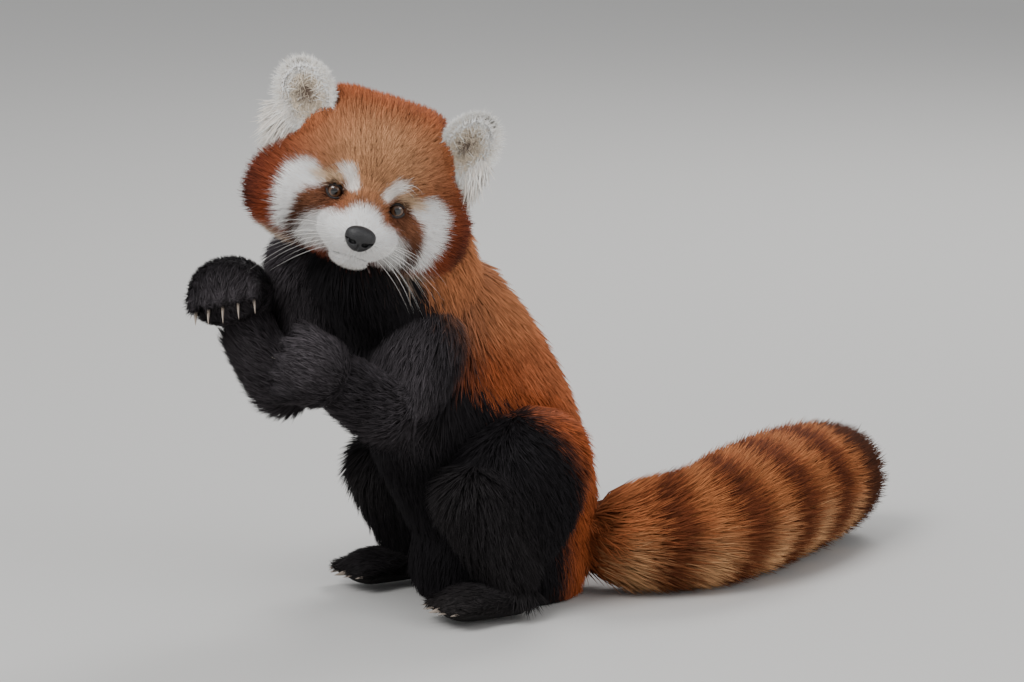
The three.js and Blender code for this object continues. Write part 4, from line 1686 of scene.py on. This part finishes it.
@dataclass
class Coat:
    """The hair over the skin, in one or more pieces for each region."""

    skin: bpy.types.Object
    seed: int = 7

    def build(self) -> None:
        """Grows every region."""
        chance = np.random.default_rng(self.seed)
        mesh = self.skin.data
        mesh.calc_loop_triangles()
        corners = np.empty(len(mesh.loop_triangles) * 3, np.int32)
        mesh.loop_triangles.foreach_get("vertices", corners)
        corners = corners.reshape(-1, 3)
        p = points_of(mesh)
        tri = p[corners]
        cross = np.cross(tri[:, 1] - tri[:, 0], tri[:, 2] - tri[:, 0])
        area = np.linalg.norm(cross, axis=1) / 2
        normals = np.zeros_like(p)
        for k in range(3):
            for c in range(3):
                normals[:, c] += np.bincount(corners[:, k], cross[:, c], minlength=len(p))
        normals = unit(normals)
        owner = Survey(tri.mean(1)).owner
        for region in REGIONS:
            mine = np.flatnonzero(np.isin(owner, [PART_NAMES.index(n) for n in region.parts]))
            self.grow(region, tri, corners, normals, area, mine, chance)

    def grow(
        self,
        region: Region,
        tri: Array,
        corners: Array,
        normals: Array,
        area: Array,
        mine: Array,
        chance: Chance,
    ) -> None:
        """Grows one region's tufts.

        Args:
            region: how its hair grows.
            tri: the skin's triangles as points.
            corners: the skin's triangles as indices.
            normals: the skin's normals.
            area: the triangles' areas.
            mine: the region's triangles.
            chance: the source of chance.
        """
        run = np.cumsum(area[mine] * self.density(region, tri[mine].mean(1)))
        steps = (np.arange(region.count) + chance.random(region.count)) / region.count * run[-1]
        pick = mine[np.minimum(np.searchsorted(run, steps), len(mine) - 1)]
        a, b = chance.random((2, region.count))
        a, b = np.where(a + b > 1, 1 - a, a), np.where(a + b > 1, 1 - b, b)
        w = np.stack([1 - a - b, a, b], -1)[..., None]
        root = np.sum(tri[pick] * w, 1)
        normal = unit(np.sum(normals[corners[pick]] * w, 1))
        survey = Survey(root)
        keep, length, width = self.sizes(region, root, survey.q, chance)
        lie = survey.lie()
        swirl = 0.14 * ripple(root, 24, 1.0) + 0.17 * chance.normal(size=len(root))
        lie = lie + np.cross(normal, lie) * swirl[:, None]
        tone = Survey(root + region.ragged * chance.normal(size=root.shape)).tone()
        pale = soft(tone.mean(1), 0.3, 0.6)
        varied = 1 + region.varied * (1 - 0.75 * pale) * chance.normal(size=len(root))
        tone = tone * (varied * (1 + (0.12 - 0.08 * pale) * ripple(root, 6, 4.0)))[:, None]
        near_floor = soft(root[:, 2], 34, 6)
        lie = lie + UP * (0.35 * near_floor)[:, None]
        keep &= ~((normal[:, 2] < -0.6) & (root[:, 2] < 12))
        tufts = Tufts(
            root[keep],
            normal[keep],
            lie[keep],
            length[keep],
            width[keep],
            np.clip(tone[keep], 0.0, 1.0),
            survey.spread()[keep],
            lift=region.lift + 7 * chance.normal(size=keep.sum()),
            settle=region.settle,
            clump=region.clump * (1 - 0.85 * pale[keep]),
            cell=region.cell,
            rings=region.rings,
            roundness=region.roundness * (1 - 0.6 * pale[keep]),
            root_shade=0.45 + 0.35 * pale[keep],
            tip_shade=1.18,
        )
        hair = HairFinish(region.name + "_hair", **HAIR[region.slot]).material()
        for piece in tufts.build(region.name):
            settle(piece, hair, region.slot, region.nodes)

    def density(self, region: Region, p: Array) -> Array:
        """How thickly tufts stand.

        Args:
            region: the region.
            p: points of the skin.

        Returns:
            A weight per point.
        """
        if region.name != "coat_head":
            return np.ones(len(p))
        q = HEAD.into(p)
        return 1 + 1.6 * soft(q[:, 1], 18, 44)

    def sizes(self, region: Region, root: Array, q: Array, chance: Chance) -> tuple[Array, Array, Array]:
        """Which tufts are kept, and how long and wide they are.

        Args:
            region: the region.
            root: where they grow.
            q: the same in the head's frame.
            chance: the source of chance.

        Returns:
            A keep flag, a length and a width per tuft.
        """
        n = len(root)
        size = 0.8 + 0.4 * chance.random(n)
        length = region.length * size
        width = region.width * (0.75 + 0.5 * chance.random(n))
        keep = np.ones(n, bool)
        if region.name == "coat_head":
            s, f, u = np.abs(q[:, 0]), q[:, 1], q[:, 2]
            face = soft(f, 24, 46)
            ruff = soft(s, 42, 62) * soft(u, 20, -4) * soft(f, 36, 14)
            length = length * (1 - 0.42 * face) * (1 + 0.8 * ruff)
            length = length * (1 + 0.7 * soft(s, 13, 24) * soft(f, 64, 54) * soft(f, 38, 46))
            muzzle = soft(f, 50, 68)
            length = length * (1 - 0.3 * muzzle)
            ear = np.linalg.norm(np.stack([s, f, u], -1) - EAR_ROOT, axis=1) / EAR_CLEAR
            length = length * (0.35 + 0.65 * soft(ear, 0.85, 1.5))
            width = width * (1 - 0.3 * face) * (1 + 0.5 * ruff)
            eye = np.hypot((s - HEAD.EYE[0]) / 6.6, u / 5.8)
            keep &= ~((eye < 1) & (f > 20))
            length = length * (0.42 + 0.58 * soft(eye, 1.0, 2.2))
            nose = np.linalg.norm((q - HEAD.NOSE) / np.array([9.9, 9.0, 8.6]), axis=1)
            keep &= nose > 1.0
            mouth = stroke(q[:, 0], u, Head.MOUTH)
            keep &= ~((mouth < 1.0) & (f > 40))
            length = np.where((mouth < 2.5) & (f > 40), np.minimum(length, 3.5), length)
        if region.name == "coat_trunk":
            length = length * (1 - 0.3 * soft(root[:, 2], 40, 8))
        if region.name == "coat_legs":
            length = length * (1 - 0.5 * soft(root[:, 2], 116, 138))
        if region.name == "coat_tail":
            length = length * soft(TAIL.locate(root)["share"], -0.6, 0.1)
        return keep, length, width


# Eyes, lids and nose


@dataclass
class Eyes:
    """The two eyes and the dark rims of their lids."""

    gaze: tuple = (0.12, 0.985, -0.06)

    def build(self) -> None:
        """Makes the balls and the rims."""
        wet = WetFinish("wet_eye").material()
        rim = LeatherFinish("lid_rim", 0.45).material()
        for side, name in ((-1, "right"), (1, "left")):
            ball = make_object("eyeball_" + name, *self.ball(side))
            paint(ball, self.iris(points_of(ball.data), side))
            settle(ball, wet, Slot.EYE, ("eye_" + name,))
            lids = make_object("lids_" + name, *self.lids(side))
            paint(lids, np.broadcast_to(rgb(30, 20, 18), (len(lids.data.vertices), 3)))
            settle(lids, rim, Slot.NOSE, ("head",))

    def centre(self, side: int) -> Array:
        """Places the ball in the head's frame.

        Args:
            side: 1 for the left eye, -1 for the right.

        Returns:
            Its centre as s, f, u.
        """
        return HEAD.EYE * np.array([side, 1, 1])

    def ball(self, side: int) -> tuple[Array, Array]:
        """Shapes a ball whose rings lie round the gaze.

        Args:
            side: 1 for the left eye, -1 for the right.

        Returns:
            Points and triangles.
        """
        polar = np.linspace(0, np.pi, 42)[1:-1, None]
        turn = np.linspace(0, 2 * np.pi, 48, endpoint=False)[None]
        axis = unit(np.array(self.gaze) * [side, 1, 1])
        a = unit(np.cross(axis, [0, 0, 1.0]))
        b = np.cross(a, axis)
        ray = axis * np.cos(polar)[..., None] + (
            a * np.cos(turn)[..., None] + b * np.sin(turn)[..., None]
        ) * np.sin(polar)[..., None]
        r = HEAD.EYE_RADIUS - 0.2
        c = self.centre(side)
        return sweep(HEAD.out(c + ray * r), HEAD.out(c + axis * r), HEAD.out(c - axis * r))

    def iris(self, p: Array, side: int) -> Array:
        """Colours a black pupil in a brown iris, with a dark edge.

        Args:
            p: points of the ball.
            side: 1 for the left eye, -1 for the right.

        Returns:
            Linear colours.
        """
        axis = unit(np.array(self.gaze) * [side, 1, 1])
        ray = unit(HEAD.into(p) - self.centre(side))
        turn = np.degrees(np.arccos(np.clip(ray @ axis, -1, 1)))
        tone = blend(rgb(5, 4, 4), rgb(94, 66, 46), soft(turn, 19, 25))
        tone = blend(tone, rgb(56, 36, 24), soft(turn, 32, 42))
        return blend(tone, rgb(14, 9, 8), soft(turn, 44, 50))

    def lids(self, side: int) -> tuple[Array, Array]:
        """Shapes a closed rim of almond outline that hugs the ball.

        Args:
            side: 1 for the left eye, -1 for the right.

        Returns:
            Points and triangles.
        """
        t = np.linspace(0, 2 * np.pi, 72, endpoint=False)
        s = 5.2 * np.cos(t) + 0.7 * np.sign(np.cos(t)) * np.abs(np.cos(t)) ** 6
        u = 4.5 * np.sin(t) * (1 + 0.05 * np.cos(t)) - 0.2 * np.sin(t) ** 2
        tilt = math.radians(9)
        s, u = s * math.cos(tilt) - u * math.sin(tilt), s * math.sin(tilt) + u * math.cos(tilt)
        s = s * side
        reach = np.minimum(np.hypot(s, u), HEAD.EYE_RADIUS - 0.3)
        f = np.sqrt(HEAD.EYE_RADIUS**2 - reach**2)
        line = self.centre(side) + np.stack([s, f, u], -1)
        along = unit(np.roll(line, -1, 0) - np.roll(line, 1, 0))
        out = sideways(np.broadcast_to([0.0, 1.0, 0.0], line.shape), along)
        flat = np.cross(along, out)
        a = np.linspace(0, 2 * np.pi, 12, endpoint=False)[None, :, None]
        thick = (0.8 + 0.3 * np.clip(np.sin(t), 0, 1))[:, None, None]
        ring = line[:, None] + (out[:, None] * np.cos(a) * 0.9 + flat[:, None] * np.sin(a)) * thick
        return self.tube(HEAD.out(ring))

    def tube(self, rings: Array) -> tuple[Array, Array]:
        """Joins rings round a closed path into a tube with no ends.

        Args:
            rings: rows of points, shape (rows, sides, 3).

        Returns:
            Points and triangles.
        """
        rows, sides = rings.shape[:2]
        i, j = np.meshgrid(np.arange(rows), np.arange(sides), indexing="ij")
        a, b = i * sides + j, i * sides + (j + 1) % sides
        c, d = (i + 1) % rows * sides + (j + 1) % sides, (i + 1) % rows * sides + j
        halves = (np.stack([a, b, c], -1), np.stack([a, c, d], -1))
        faces = np.concatenate([half.reshape(-1, 3) for half in halves])
        return outward(rings.reshape(-1, 3), faces)


@dataclass
class Nose:
    """The nose pad with its nostrils and the groove below, and the line of the mouth."""

    half: tuple = (10.2, 6.5, 8.7)

    def build(self) -> None:
        """Makes the pad and the mouth line."""
        leather = LeatherFinish().material()
        points, triangles, tone = self.pad()
        pad = make_object("nose_pad", points, triangles)
        paint(pad, tone)
        settle(pad, leather, Slot.NOSE, ("nose",))
        mouth = make_object("mouth_line", *self.mouth())
        paint(mouth, np.broadcast_to(rgb(26, 18, 18), (len(mouth.data.vertices), 3)))
        settle(mouth, leather, Slot.NOSE, ("head",))

    def pad(self) -> tuple[Array, Array, Array]:
        """Shapes a rounded pad, dented at two commas and one upright line.

        Returns:
            Points, triangles and linear colours, darker in the nostril dents and the groove as painted shade.
        """
        polar = np.linspace(0, np.pi, 66)[1:-1, None]
        turn = np.linspace(0, 2 * np.pi, 96, endpoint=False)[None]
        x = np.sin(polar) * np.cos(turn)
        z = np.sin(polar) * np.sin(turn)
        y = np.cos(polar) + 0 * turn
        wide = 1 + 0.12 * z
        s, u = x * wide * self.half[0], z * self.half[2] + 0.9 * np.abs(x) ** 2
        f = y * self.half[1]
        dent = np.zeros_like(s)
        for side in (-1, 1):
            a, b = side * s - 4.3, u + 1.2
            inner = np.hypot(a / 2.5, b / 1.7)
            wing = np.hypot((a - 2.6) / 2.6, (b - 0.9) / 0.8)
            dent = np.maximum(dent, soft(np.minimum(inner, wing), 1.15, 0.55) * (y > 0))
        groove = soft(np.abs(s), 1.0, 0.2) * soft(u, -0.5, -2.5) * (y > 0)
        f = f - 3.0 * dent - 0.9 * groove
        pitch = math.radians(-12)
        cos, sin = math.cos(pitch), math.sin(pitch)
        rows = np.stack([s, f * cos - u * sin, f * sin + u * cos], -1)
        p = HEAD.out(HEAD.NOSE + rows)
        ends = HEAD.out(HEAD.NOSE + np.array([[0, self.half[1], -1.3], [0, -self.half[1], 1.3]]))
        points, triangles = sweep(p, ends[0], ends[1])
        # Painted shade: the nostril dents and the groove are coloured darker.
        dark = np.concatenate([[0.0], np.maximum(dent, 0.6 * groove).ravel(), [0.0]])
        return points, triangles, blend(rgb(23, 22, 24), rgb(5, 5, 5), dark)

    def mouth(self) -> tuple[Array, Array]:
        """Shapes a thin dark line sunk between the lips, with the upright line up to the nose.

        Returns:
            Points and triangles.
        """
        knots = np.array(Head.MOUTH, float)
        line = smooth_path(knots, 90, True)
        parts = []
        upright = np.stack([np.zeros(24), np.linspace(-31.5, -26.5, 24)], -1)
        for path, radius in ((line, 0.7), (upright, 0.6)):
            q = HEAD.out(HEAD.surface_ahead(path[:, 0], path[:, 1], -0.5))
            along = unit(np.gradient(q, axis=0))
            side = sideways(np.broadcast_to(HEAD.f, q.shape), along)
            top = np.cross(along, side)
            a = np.linspace(0, 2 * np.pi, 10, endpoint=False)[None, :, None]
            size = radius * np.sin(np.linspace(0.2, np.pi - 0.2, len(q)))[:, None, None] ** 0.5
            ring = q[:, None] + (side[:, None] * np.cos(a) + top[:, None] * np.sin(a)) * size
            parts.append(sweep(ring, q[0], q[-1]))
        return gather(parts)


# Ears


@dataclass(frozen=True)
class Ear:
    """One ear: a thin cup, with short hair outside, cream hair inside and a long tuft at its outer root.

    It leans and its tuft droops by degrees. The tuft's length is a share of the usual one.
    """

    name: str
    sign: int
    at: tuple
    lean: float
    droop: float
    tuft: float
    HALF: ClassVar[tuple] = (16.0, 20.0)
    YAW: ClassVar[float] = 18.0

    def place(self, x: Array, y: Array, z: Array) -> Array:
        """Turns ear places, x across, y out of the cup and z up the ear, into points.

        Args:
            x: across.
            y: out of the cup.
            z: up.

        Returns:
            Points.
        """
        return HEAD.out(np.array(self.at, float) + self.rotated(x, y, z))

    def rotated(self, x: Array, y: Array, z: Array) -> Array:
        """The same as directions in the head's frame.

        Args:
            x: across.
            y: out of the cup.
            z: up.

        Returns:
            Rows of s, f, u.
        """
        yaw, roll = math.radians(-self.sign * self.YAW), math.radians(self.sign * self.lean)
        x, y = x * math.cos(yaw) - y * math.sin(yaw), x * math.sin(yaw) + y * math.cos(yaw)
        x, z = x * math.cos(roll) + z * math.sin(roll), -x * math.sin(roll) + z * math.cos(roll)
        return np.stack(np.broadcast_arrays(x, y, z), -1)

    def shell(self, r: Array, a: Array, back: bool) -> Array:
        """A point of the cup: r from its middle to its rim, a round it.

        Args:
            r: 0 to 1.
            a: angle.
            back: True for the outer face.

        Returns:
            Rows of x, y, z.
        """
        hollow = np.sqrt(np.clip(1 - r * r, 0, 1))
        x = self.HALF[0] * r * np.cos(a)
        z = self.HALF[1] * r * np.sin(a)
        y = 0.6 - (7.0 if back else 4.4) * hollow
        return np.stack(np.broadcast_arrays(x, y, z), -1)

    def build(self) -> None:
        """Makes the cup and its hair."""
        a = np.linspace(0, 2 * np.pi, 72, endpoint=False)[None]
        r = np.linspace(0, 1, 30)[1:, None]
        front = self.shell(r, a, False)
        back = self.shell(r[::-1][1:], a, True)
        rows = np.concatenate([front, back])
        p = self.place(rows[..., 0], rows[..., 1], rows[..., 2])
        ends = self.place(np.zeros(2), np.array([-3.8, -6.4]), np.zeros(2))
        cup = make_object("cup_" + self.name, *sweep(p, ends[0], ends[1]))
        counts = [front[..., 0].size, back[..., 0].size]
        is_back = np.concatenate([[0.0], np.repeat([0.0, 1.0], counts), [1.0]])
        # Painted shade: the inside of the cup is coloured darker towards its middle, where its hollow lies in
        # shade.
        deep = np.broadcast_to(1 - r, front.shape[:2]).ravel()
        deep = np.concatenate([[1.0], deep, np.zeros(back[..., 0].size), [0.0]])
        inside = blend(rgb(196, 176, 156), rgb(112, 96, 84), soft(deep, 0.5, 0.9))
        paint(cup, blend(inside, rgb(120, 80, 60), is_back))
        settle(cup, SkinFinish("ear_skin_" + self.name).material(), Slot.FACE, ("ear_" + self.name,))
        self.hair()

    def hair(self) -> None:
        """Grows the ear's hair."""
        chance = np.random.default_rng(40 + self.sign)
        sets = (
            self.outer(chance, 4200),
            self.rim(chance, 5200),
            self.inner(chance, 6200),
            self.long(chance, 2400),
        )
        hair = HairFinish("ear_hair_" + self.name, **HAIR[Slot.FACE]).material()
        for label, tufts in zip(("back", "rim", "inside", "tuft"), sets):
            for piece in tufts.build(f"ear_{label}_{self.name}"):
                settle(piece, hair, Slot.FACE, ("ear_" + self.name,))

    def tufts(
        self,
        local: Array,
        normal: Array,
        lie: Array,
        length: Array,
        width: Array,
        tone: Array,
        chance: Chance,
        facing: tuple | None = None,
        **how: Any,
    ) -> Tufts:
        """Turns rows in the ear's frame into tufts.

        Args:
            local: roots as x, y, z.
            normal: normals.
            lie: the way the hair runs.
            length: lengths.
            width: widths.
            tone: linear colours.
            chance: the source of chance.
            facing: the way the shading leans, as s, f, u, or None to follow the normals.
            how: other settings of the tufts.

        Returns:
            The tufts.
        """
        n = len(local)
        turned = [HEAD.turn(self.rotated(v[:, 0], v[:, 1], v[:, 2])) for v in (normal, lie)]
        low, size = EAR_TILES[self.sign]
        place = np.stack([local[:, 0] / 60 + 0.5, local[:, 2] / 80 + 0.5], -1)
        uv = np.array(low) + np.clip(place, 0, 1) * np.array(size)
        tone = tone * (1 + 0.08 * chance.normal(size=(n, 1)))
        root = self.place(local[:, 0], local[:, 1], local[:, 2])
        how["facing"] = np.broadcast_to(HEAD.turn(np.array(facing)), (n, 3)) if facing else None
        return Tufts(root, unit(turned[0]), unit(turned[1]), length, width, np.clip(tone, 0, 1), uv, **how)

    def outer(self, chance: Chance, n: int) -> Tufts:
        """Grows short hair on the back of the ear.

        Args:
            chance: the source of chance.
            n: how many.

        Returns:
            The tufts.
        """
        r, a = np.sqrt(chance.random(n)) * 0.98, chance.random(n) * 2 * np.pi
        p = self.shell(r, a, True)
        normal = unit(np.stack([p[:, 0] / 16**2, (p[:, 1] - 0.6) / 49, p[:, 2] / 20**2], -1))
        lie = np.stack([p[:, 0] * 0.03, -0.1 * np.ones(n), np.ones(n)], -1)
        tone = blend(rgb(134, 62, 40), rgb(246, 240, 230), soft(r, 0.62, 0.86) * soft(p[:, 2], -14, -2))
        length = 6.5 * (0.8 + 0.4 * chance.random(n))
        how = {"lift": 26.0, "roundness": 0.8, "rings": STRAIGHT}
        return self.tufts(p, normal, lie, length, np.full(n, 1.1), tone, chance, **how)

    def rim(self, chance: Chance, n: int) -> Tufts:
        """Grows white hair that stands along the rim.

        Args:
            chance: the source of chance.
            n: how many.

        Returns:
            The tufts.
        """
        a = chance.random(n) * 2 * np.pi
        r = 0.5 + 0.5 * chance.random(n) ** 0.7
        p = self.shell(r, a, False)
        p[:, 1] += chance.normal(size=n) * 0.8
        normal = unit(np.stack([0.6 * np.cos(a), np.ones(n), 0.6 * np.sin(a)], -1))
        lie = np.stack([np.cos(a), np.zeros(n), np.sin(a) + 0.2], -1) + 0.4 * chance.normal(size=(n, 3))
        tone = blend(rgb(232, 216, 194), rgb(255, 252, 247), soft(r, 0.6, 0.8))
        length = (5.5 + 6 * (1 - r)) * (0.7 + 0.6 * chance.random(n))
        lift = 24.0 + 9 * chance.normal(size=n)
        how = {"lift": lift, "settle": 12.0, "root_shade": 0.85, "tip_shade": 1.05}
        how.update(roundness=0.4, rings=STRAIGHT)
        return self.tufts(p, normal, lie, length, np.full(n, 1.0), tone, chance, **how)

    def inner(self, chance: Chance, n: int) -> Tufts:
        """Grows the hair that lines the cup and runs out to its rim, cream with a darker middle that is
        painted shade in the cup's hollow.

        Args:
            chance: the source of chance.
            n: how many.

        Returns:
            The tufts.
        """
        r = 0.12 + 0.84 * np.sqrt(chance.random(n))
        a = chance.random(n) * 2 * np.pi
        p = self.shell(r, a, False)
        normal = unit(np.stack([-0.2 * np.cos(a) * r, np.ones(n), 0.2 - 0.2 * np.sin(a) * r], -1))
        lie = np.stack([np.cos(a), np.zeros(n), np.sin(a) + 0.35], -1)
        lie = unit(lie) + 0.6 * chance.normal(size=(n, 3))
        # Painted shade: the hair near the middle of the cup is coloured darker for the shade in its hollow.
        tone = blend(rgb(104, 92, 84), rgb(226, 208, 184), soft(r + 0.03 * chance.normal(size=n), 0.1, 0.4))
        tone = blend(tone, rgb(252, 248, 241), soft(r + 0.08 * chance.normal(size=n), 0.58, 0.84))
        length = (5 + 5 * r) * (0.7 + 0.6 * chance.random(n))
        lift = 34.0 + 8 * chance.normal(size=n)
        how = {"lift": lift, "settle": 14.0, "root_shade": 0.85, "tip_shade": 1.05}
        how.update(roundness=0.4, rings=STRAIGHT)
        return self.tufts(p, normal, lie, length, np.full(n, 0.95), tone, chance, **how)

    def long(self, chance: Chance, n: int) -> Tufts:
        """Grows the long white tuft at the ear's outer root, falling out and down.

        Args:
            chance: the source of chance.
            n: how many.

        Returns:
            The tufts.
        """
        t = chance.random(n)
        x = self.sign * (15.5 - 8 * t + 1.8 * chance.normal(size=n))
        p = np.stack([x, -3 + 7 * chance.random(n), -2 - 26 * t], -1)
        fall = np.radians(-self.droop - 38 * t + 11 * chance.normal(size=n))
        lie = np.stack([self.sign * np.cos(fall), -0.1 + 0.18 * chance.normal(size=n), np.sin(fall)], -1)
        normal = np.broadcast_to(unit(np.array([0.45 * self.sign, 1.0, 0.1])), (n, 3))
        tone = blend(rgb(252, 248, 242), rgb(232, 214, 192), chance.random(n) * 0.5)
        length = self.tuft * (15 + 24 * t) * (0.65 + 0.5 * chance.random(n))
        how = {"lift": 14.0 * chance.normal(size=n), "settle": -3.0, "root_shade": 0.8, "tip_shade": 1.06}
        how.update(clump=0.3, cell=5.0, roundness=0.4, facing=(0.0, 0.9, 0.4))
        return self.tufts(p, normal, lie, length, np.full(n, 1.05), tone, chance, **how)


EARS = (Ear("left", 1, (55.5, 8, 50), 18, 38, 1.0), Ear("right", -1, (-57, 8, 51), 27, 22, 1.3))


# Whiskers


@dataclass
class Whiskers:
    """Long white bristles on both sides of the muzzle, drooping at their ends."""

    each: int = 14
    reach: float = 48.0
    radius: float = 0.18

    def build(self) -> None:
        """Makes all the whiskers as one piece."""
        chance = np.random.default_rng(5)
        parts = []
        for side in (-1, 1):
            for k in range(self.each):
                row, column = k % 4, k // 4
                s, u = side * (13 + 2.7 * column), -20.0 - 3.4 * row
                root = HEAD.surface_ahead(np.array(s), np.array(u), -0.6)
                way = unit(np.array([side * 1.0, 0.32 - 0.16 * column, 0.1 - 0.16 * row]))
                parts.append(self.bristle(root, way, self.reach * (0.7 + 0.35 * chance.random()), chance))
            for k in range(3):
                root = HEAD.surface_ahead(np.array(side * (15 + 2.0 * k)), np.array(13.0 + 2 * k), -0.4)
                way = unit(np.array([side * 0.5, 0.7, 0.5]))
                parts.append(self.bristle(root, way, 26.0, chance))
        piece = make_object("whiskers", *gather(parts))
        settle(piece, HornFinish("bristle", (0.8, 0.78, 0.74), 0.5).material(), Slot.WHISKER, ("head",))

    def bristle(self, root: Array, way: Array, length: float, chance: Chance) -> tuple[Array, Array]:
        """One tapering bristle.

        Args:
            root: where it grows, in the head's frame.
            way: the way it starts.
            length: its length.
            chance: the source of chance.

        Returns:
            Points and triangles.
        """
        t = np.linspace(0, 0.98, 14)[:, None]
        drop = np.array([0.0, -0.1, -0.36 - 0.2 * chance.random()])
        line = root + (way * t + drop * t * t) * length
        along = unit(np.gradient(line, axis=0))
        side = sideways(np.broadcast_to([0.1, 0.2, 1.0], line.shape), along)
        top = np.cross(along, side)
        a = np.linspace(0, 2 * np.pi, 5, endpoint=False)[None, :, None]
        thick = (self.radius * (1 - t))[:, None]
        ring = line[:, None] + (side[:, None] * np.cos(a) + top[:, None] * np.sin(a)) * thick
        return sweep(HEAD.out(ring), HEAD.out(line[0] - along[0]), HEAD.out(line[-1] + along[-1]))


# Studio


@dataclass
class Studio:
    """A pale floor, soft lights and the camera, in metres and watts."""

    target: tuple = (0.008, -0.060, 0.1848)
    distance: float = 3.6
    pitch: float = 10.0
    lens_mm: float = 189.8
    lit: tuple = (0.0, -0.05, 0.16)
    lamps: tuple = (
        ("key", (-1.2, -1.7, 2.3), 62.0, 1.5),
        ("fill", (1.9, -1.6, 1.2), 20.0, 1.6),
        ("rim", (0.8, 1.9, 1.8), 28.0, 1.0),
    )

    def build(self) -> None:
        """Sets the stage."""
        floor = make_object(
            "floor",
            np.array([[-4000, -4000, 0], [4000, -4000, 0], [4000, 4000, 0], [-4000, 4000, 0]], float),
            np.array([[0, 1, 2], [0, 2, 3]]),
            False,
        )
        g = Graph("floor_paper")
        floor.data.materials.append(g.finish(Base_Color=(0.62, 0.61, 0.59, 1.0), Roughness=0.9))
        for lamp in self.lamps:
            self.light(*lamp)
        world = bpy.data.worlds.new("studio")
        world.use_nodes = True
        world.node_tree.nodes["Background"].inputs["Color"].default_value = (0.84, 0.85, 0.87, 1.0)
        world.node_tree.nodes["Background"].inputs["Strength"].default_value = 0.62
        bpy.context.scene.world = world
        self.camera()

    def light(self, name: str, place: tuple, power: float, size: float) -> None:
        """Adds a square area light aimed at the model.

        Args:
            name: its name.
            place: where it stands.
            power: watts.
            size: its edge.
        """
        lamp = bpy.data.lights.new(name, "AREA")
        lamp.energy = power
        lamp.size = size
        made = bpy.data.objects.new(name, lamp)
        made.location = place
        made.rotation_euler = self.aim(place, self.lit)
        bpy.context.scene.collection.objects.link(made)

    def aim(self, place: tuple, target: tuple) -> tuple[float, float, float]:
        """The turn that points an object's -Z at a target.

        Args:
            place: where the object is.
            target: what it looks at.

        Returns:
            The turn about X, Y and Z.
        """
        x, y, z = (t - p for p, t in zip(place, target))
        return (math.atan2(math.hypot(x, y), -z), 0.0, math.atan2(-x, y))

    def camera(self) -> None:
        """Sets the camera at the display's front view."""
        lens = bpy.data.cameras.new("camera")
        lens.sensor_width = 36.0
        lens.lens = self.lens_mm
        lens.clip_end = 50.0
        made = bpy.data.objects.new("camera", lens)
        pitch = math.radians(self.pitch)
        x, y, z = self.target
        made.location = (x, y - self.distance * math.cos(pitch), z + self.distance * math.sin(pitch))
        made.rotation_euler = (math.radians(90) - pitch, 0.0, 0.0)
        bpy.context.scene.collection.objects.link(made)
        bpy.context.scene.camera = made


def main() -> None:
    """Builds the model piece by piece."""
    logging.basicConfig(level=logging.INFO, format="%(message)s")
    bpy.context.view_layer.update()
    skin = Skin()
    body = skin.build()
    Coat(body).build()
    for ear in EARS:
        ear.build()
    Eyes().build()
    Nose().build()
    Claws().build()
    Whiskers().build()
    Studio().build()


if __name__ == "__main__":
    main()
